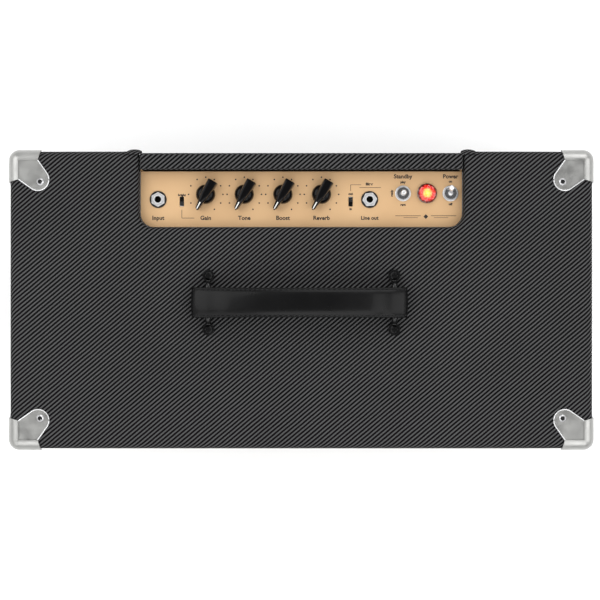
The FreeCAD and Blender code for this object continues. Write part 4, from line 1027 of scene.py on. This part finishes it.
def painted_shade_in_screw_recess(spot, normal):
    """True inside the recess of a corner screw's head, on a flat face or on an end face; these faces take
    black phenolic as painted shade in the recess.
    """
    x, y = HALF_W - abs(spot.x), HALF_D - abs(spot.y)
    z = HALF_H - abs(spot.z - MID_Z)
    place = (x, y) if z < x else (y, z)
    return math.dist(place, (CORNER_SCREW, CORNER_SCREW)) < RECESS_R


def toggle_washers():
    """A thin dished washer under each toggle switch's ring nut."""
    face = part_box("faceplate")[1].z
    low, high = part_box("toggle_nuts")
    rings = []
    profile = [(6.2, 0.02), (7.7, 0.02), (7.9, 0.2), (7.7, 0.45), (7.4, 0.6), (6.2, 0.6), (6.2, 0.02)]
    nut_r = 7.1 * MM
    for x in (low.x + nut_r, high.x - nut_r):
        rings.append(lathe([(r * MM, z * MM) for r, z in profile], (x, (low.y + high.y) / 2, face), 40))
    piece("toggle_washers", *merged(*rings), STEEL, "cabinet", "screw_steel", smooth=30)


def coil_path(start, run, radius, turns, per):
    """Points of a coil that winds about the line from start along run, an X or a Z direction."""
    path = []
    for i in range(turns * per + 1):
        a = 2 * math.pi * i / per
        near, far = radius * math.cos(a), radius * math.sin(a)
        offset = Vector((0, near, far)) if run.x else Vector((near, far, 0))
        path.append(start + run * (i / (turns * per)) + offset)
    return path


def springs():
    """Coil springs of the reverb tank, in place of the plain cylinders."""
    low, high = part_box("reverb_springs")
    inset = 2.2 * MM
    coils = []
    for k in (-1, 0, 1):
        y = (low.y + high.y) / 2 + k * ((high.y - low.y) / 2 - inset)
        start = Vector((low.x, y, (low.z + high.z) / 2))
        path = coil_path(start, Vector((high.x - low.x, 0, 0)), 1.9 * MM, 78, 8)
        coils.append(tube(path, 0.28 * MM, 5))
    made = piece("reverb_coils", *merged(*coils), STEEL, "reverb_float", "spring_steel", smooth=60)
    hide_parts("reverb_springs")
    low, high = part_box("reverb_hangers")
    inset = 2.4 * MM
    coils = []
    for x in (low.x + inset, high.x - inset):
        for y in (low.y + inset, high.y - inset):
            path = coil_path(Vector((x, y, low.z)), Vector((0, 0, high.z - low.z)), 2.0 * MM, 6, 12)
            coils.append(tube(path, 0.3 * MM, 5))
    verts, faces = merged(*coils)
    coil = piece("hanger_coils", verts, faces, STEEL, None, "spring_steel", smooth=60)
    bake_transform(coil)
    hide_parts("reverb_hangers")


def grille():
    """Stretched grille cloth: a thin sheet with a very slight ripple over the baffle."""
    low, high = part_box("grille_cloth")
    nx, nz = 60, 24
    verts, faces = [], []
    for side in (0, 1):
        for j in range(nz + 1):
            for i in range(nx + 1):
                x = low.x + (high.x - low.x) * i / nx
                z = low.z + (high.z - low.z) * j / nz
                sag = 0.12 * MM * math.sin(i * 0.7) * math.sin(j * 0.9)
                y = low.y + 0.25 * MM + sag if side == 0 else high.y
                verts.append((x, y, z))
    n = (nx + 1) * (nz + 1)
    for j in range(nz):
        for i in range(nx):
            a = j * (nx + 1) + i
            quad = (a, a + 1, a + nx + 2, a + nx + 1)
            faces.append(quad)
            faces.append(tuple(n + q for q in quad[::-1]))
    rim = list(range(nx + 1))
    rim += [j * (nx + 1) + nx for j in range(1, nz + 1)]
    rim += [nz * (nx + 1) + i for i in range(nx - 1, -1, -1)]
    rim += [j * (nx + 1) for j in range(nz - 1, 0, -1)]
    for a, b in zip(rim, rim[1:] + rim[:1]):
        faces.append((a, b, n + b, n + a))
    made = piece("grille_sheet", verts, faces, GRILLE, "cabinet", "grille_cloth", smooth=60)
    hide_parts("grille_cloth")


def valve_insides():
    """Plates and mica discs inside each glass."""
    plate = enamel("anode_plate", (0.05, 0.05, 0.055), 0.5, 0.6, 0.6 * MM, 0.05 * MM)
    mica = enamel("mica_disc", (0.55, 0.52, 0.45), 0.4)
    sets = []
    for node, count in (("preamp_valves", 3), ("power_valves", 2)):
        low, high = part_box(node)
        radius = (high.y - low.y) / 2
        for i in range(count):
            x = low.x + radius + (high.x - low.x - 2 * radius) * i / (count - 1)
            sets.append((x, (low.y + high.y) / 2, low.z, high.z, radius))
    plates, discs = [], []
    for x, y, z0, z1, radius in sets:
        tall = z1 - z0
        wide, deep = radius * 0.625, radius * 0.35
        angles = [2 * math.pi * k / 20 for k in range(20)]
        ring = [(x + wide * math.cos(a), y + deep * math.sin(a)) for a in angles]
        levels = [z0 + tall * share for share in (0.25, 0.48, 0.72)]
        plates.append(loft([[Vector((px, py, level)) for px, py in ring] for level in levels]))
        rim, hub, thick = radius * 0.74, 0.1 * MM, 0.4 * MM
        for share in (0.23, 0.74):
            disc = [(hub, 0), (rim, 0), (rim, thick), (hub, thick)]
            discs.append(lathe(disc, (x, y, z0 + tall * share), 28))
    piece("valve_plates", *merged(*plates), plate, "cabinet", "component")
    piece("valve_micas", *merged(*discs), mica, "cabinet", "slider_white")


# ------------------------------------------------------------------ corners

LEG, LIP, TAB_C, TAB_R = 27.8 * MM, 9 * MM, 28 * MM, 10.8 * MM
CORNER_SCREW, RECESS_R = 30.2 * MM, 1.75 * MM
BEAD_OUT, BEAD_R = 0.95 * MM, 0.55 * MM


def tab_edge():
    """The tab's free edge on one face, as distances from the cabinet's two edges."""
    reach = math.hypot(LEG - TAB_C, LIP - TAB_C)
    start = math.atan2(LIP - TAB_C, LEG - TAB_C) + math.acos(TAB_R / reach)
    end = math.pi / 2 - start
    arc = [start + (end - start) * i / 24 for i in range(25)]
    round_end = [(TAB_C + TAB_R * math.cos(a), TAB_C + TAB_R * math.sin(a)) for a in arc]
    return [(LEG, LIP), *round_end, (LIP, LEG)]


def corner_caps():
    """Smooth copies of the pressed corners, with a round bead along each tab's free edge."""
    for node in ("top_corners", "bottom_corners"):
        source = NODES[node]
        mesh = source.data.copy()
        made = linked(node + "_look", mesh)
        tidy(made, 28)
        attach(made, "cabinet")
        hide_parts(node)
    beads = []
    for sx, sy, sz in product((-1, 1), repeat=3):
        flat, upright = [], []
        for a, b in tab_edge():
            flat.append(Vector((sx * (HALF_W - a), sy * (HALF_D - b), MID_Z + sz * (HALF_H + BEAD_OUT))))
            upright.append(Vector((sx * (HALF_W + BEAD_OUT), sy * (HALF_D - a), MID_Z + sz * (HALF_H - b))))
        beads += [tube(flat, BEAD_R, 10), tube(upright, BEAD_R, 10)]
    piece("corner_beads", *merged(*beads), NICKEL, "cabinet", "chrome", smooth=60)


# ------------------------------------------------------------------ stage

def stage():
    """Pale floor, soft lights and a camera that looks straight down, rear upwards."""
    floor = Mat("studio_floor", Roughness=0.85)
    floor.set("Base Color", floor.mix(floor.noise(0.4, 2), (0.95, 0.95, 0.95), (0.98, 0.98, 0.98)))
    mesh = bpy.data.meshes.new("floor")
    wide = 6
    corners = [(-wide, -wide, 0), (wide, -wide, 0), (wide, wide, 0), (-wide, wide, 0)]
    mesh.from_pydata(corners, [], [(0, 1, 2, 3)])
    mesh.materials.append(floor.material)
    ground = bpy.data.objects.new("floor", mesh)
    bpy.context.scene.collection.objects.link(ground)

    world = bpy.data.worlds.new("studio")
    bpy.context.scene.world = world
    world.use_nodes = True
    sky = world.node_tree
    way = sky.nodes.new("ShaderNodeTexCoord")
    split = sky.nodes.new("ShaderNodeSeparateXYZ")
    fade = sky.nodes.new("ShaderNodeValToRGB")
    fade.color_ramp.elements[0].position = 0.1
    fade.color_ramp.elements[0].color = (1, 1, 1, 1)
    fade.color_ramp.elements[1].position = 0.97
    fade.color_ramp.elements[1].color = (0.33, 0.33, 0.33, 1)
    sky.links.new(way.outputs["Generated"], split.inputs[0])
    sky.links.new(split.outputs[2], fade.inputs[0])
    sky.links.new(fade.outputs[0], sky.nodes["Background"].inputs[0])
    sky.nodes["Background"].inputs[1].default_value = 0.92
    lights = [
        ("key", (-2.3, 0.9, 2.6), 3.0, 72),
        ("rear", (0.9, 2.7, 2.3), 2.4, 52),
        ("fill", (2.5, -0.2, 2.4), 2.6, 52),
        ("front", (0.5, -2.2, 2.8), 2.6, 58),
        ("side", (-1.9, -2.1, 2.3), 2.4, 28),
    ]
    for name, spot, size, power in lights:
        lamp = bpy.data.lights.new(name, "AREA")
        lamp.size, lamp.energy = size, power
        made = bpy.data.objects.new(name, lamp)
        made.location = spot
        aim = Vector((0, 0, 0.15)) - Vector(spot)
        made.rotation_euler = aim.to_track_quat("-Z", "Y").to_euler()
        bpy.context.scene.collection.objects.link(made)

    camera = bpy.data.cameras.new("camera")
    away, view, sensor, left = 2.0, 0.5878, 36, 1.3 * MM
    camera.sensor_width = sensor
    camera.lens = sensor * away / view
    camera.clip_start, camera.clip_end = 0.05, 30
    made = bpy.data.objects.new("camera", camera)
    made.location = (-left, 0, TOP + away)
    bpy.context.scene.collection.objects.link(made)
    bpy.context.scene.camera = made
    bpy.context.scene.view_settings.view_transform = "Standard"


# ------------------------------------------------------------------ build

paint_cad()
covering()
folded_corners()
panel_cloth()
strap()
for dial in DIALS:
    knob(dial)
printing()
jewel()
springs()
grille()
valve_insides()
for hard, rounding in (
    ("panel_screws", 0.12),
    ("handle_brackets", 0.3), ("handle_screws", 0.15), ("bushing_nuts", 0.25), ("jack_washers", 0.12),
    ("toggle_nuts", 0.25), ("power_lever", 0.2), ("standby_lever", 0.2), ("pilot_holder", 0.2),
    ("faceplate", 0.2),
    ("rubber_feet", 0.6), ("fuse_cap", 0.3), ("fuse_holder", 0.3),
    ("mains_inlet", 0.3), ("speaker_jacks", 0.2), ("power_transformer", 0.4), ("output_transformer", 0.4),
):
    dress(hard, rounding * MM)
# The bushings above the panel take nickel; their bores keep the base material as painted shade down the hole.
dress("panel_jacks", 0.15 * MM, NICKEL, bushing_face)
# The corner screws' recesses take black phenolic: painted shade in the recess.
dress("corner_screws", 0.12 * MM, PHENOLIC, painted_shade_in_screw_recess)
dress("toggle_switches", 0.15 * MM, DARK_STEEL, lambda spot, normal: spot.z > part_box("faceplate")[1].z)
dress("bright_slider", 0.3 * MM, WHITE, lambda spot, normal: spot.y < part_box("bright_slider")[0].y + 2 * MM)
dress("filter_slider", 0.3 * MM, WHITE, lambda spot, normal: spot.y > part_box("filter_slider")[1].y - 2 * MM)
toggle_washers()
corner_caps()
stage()
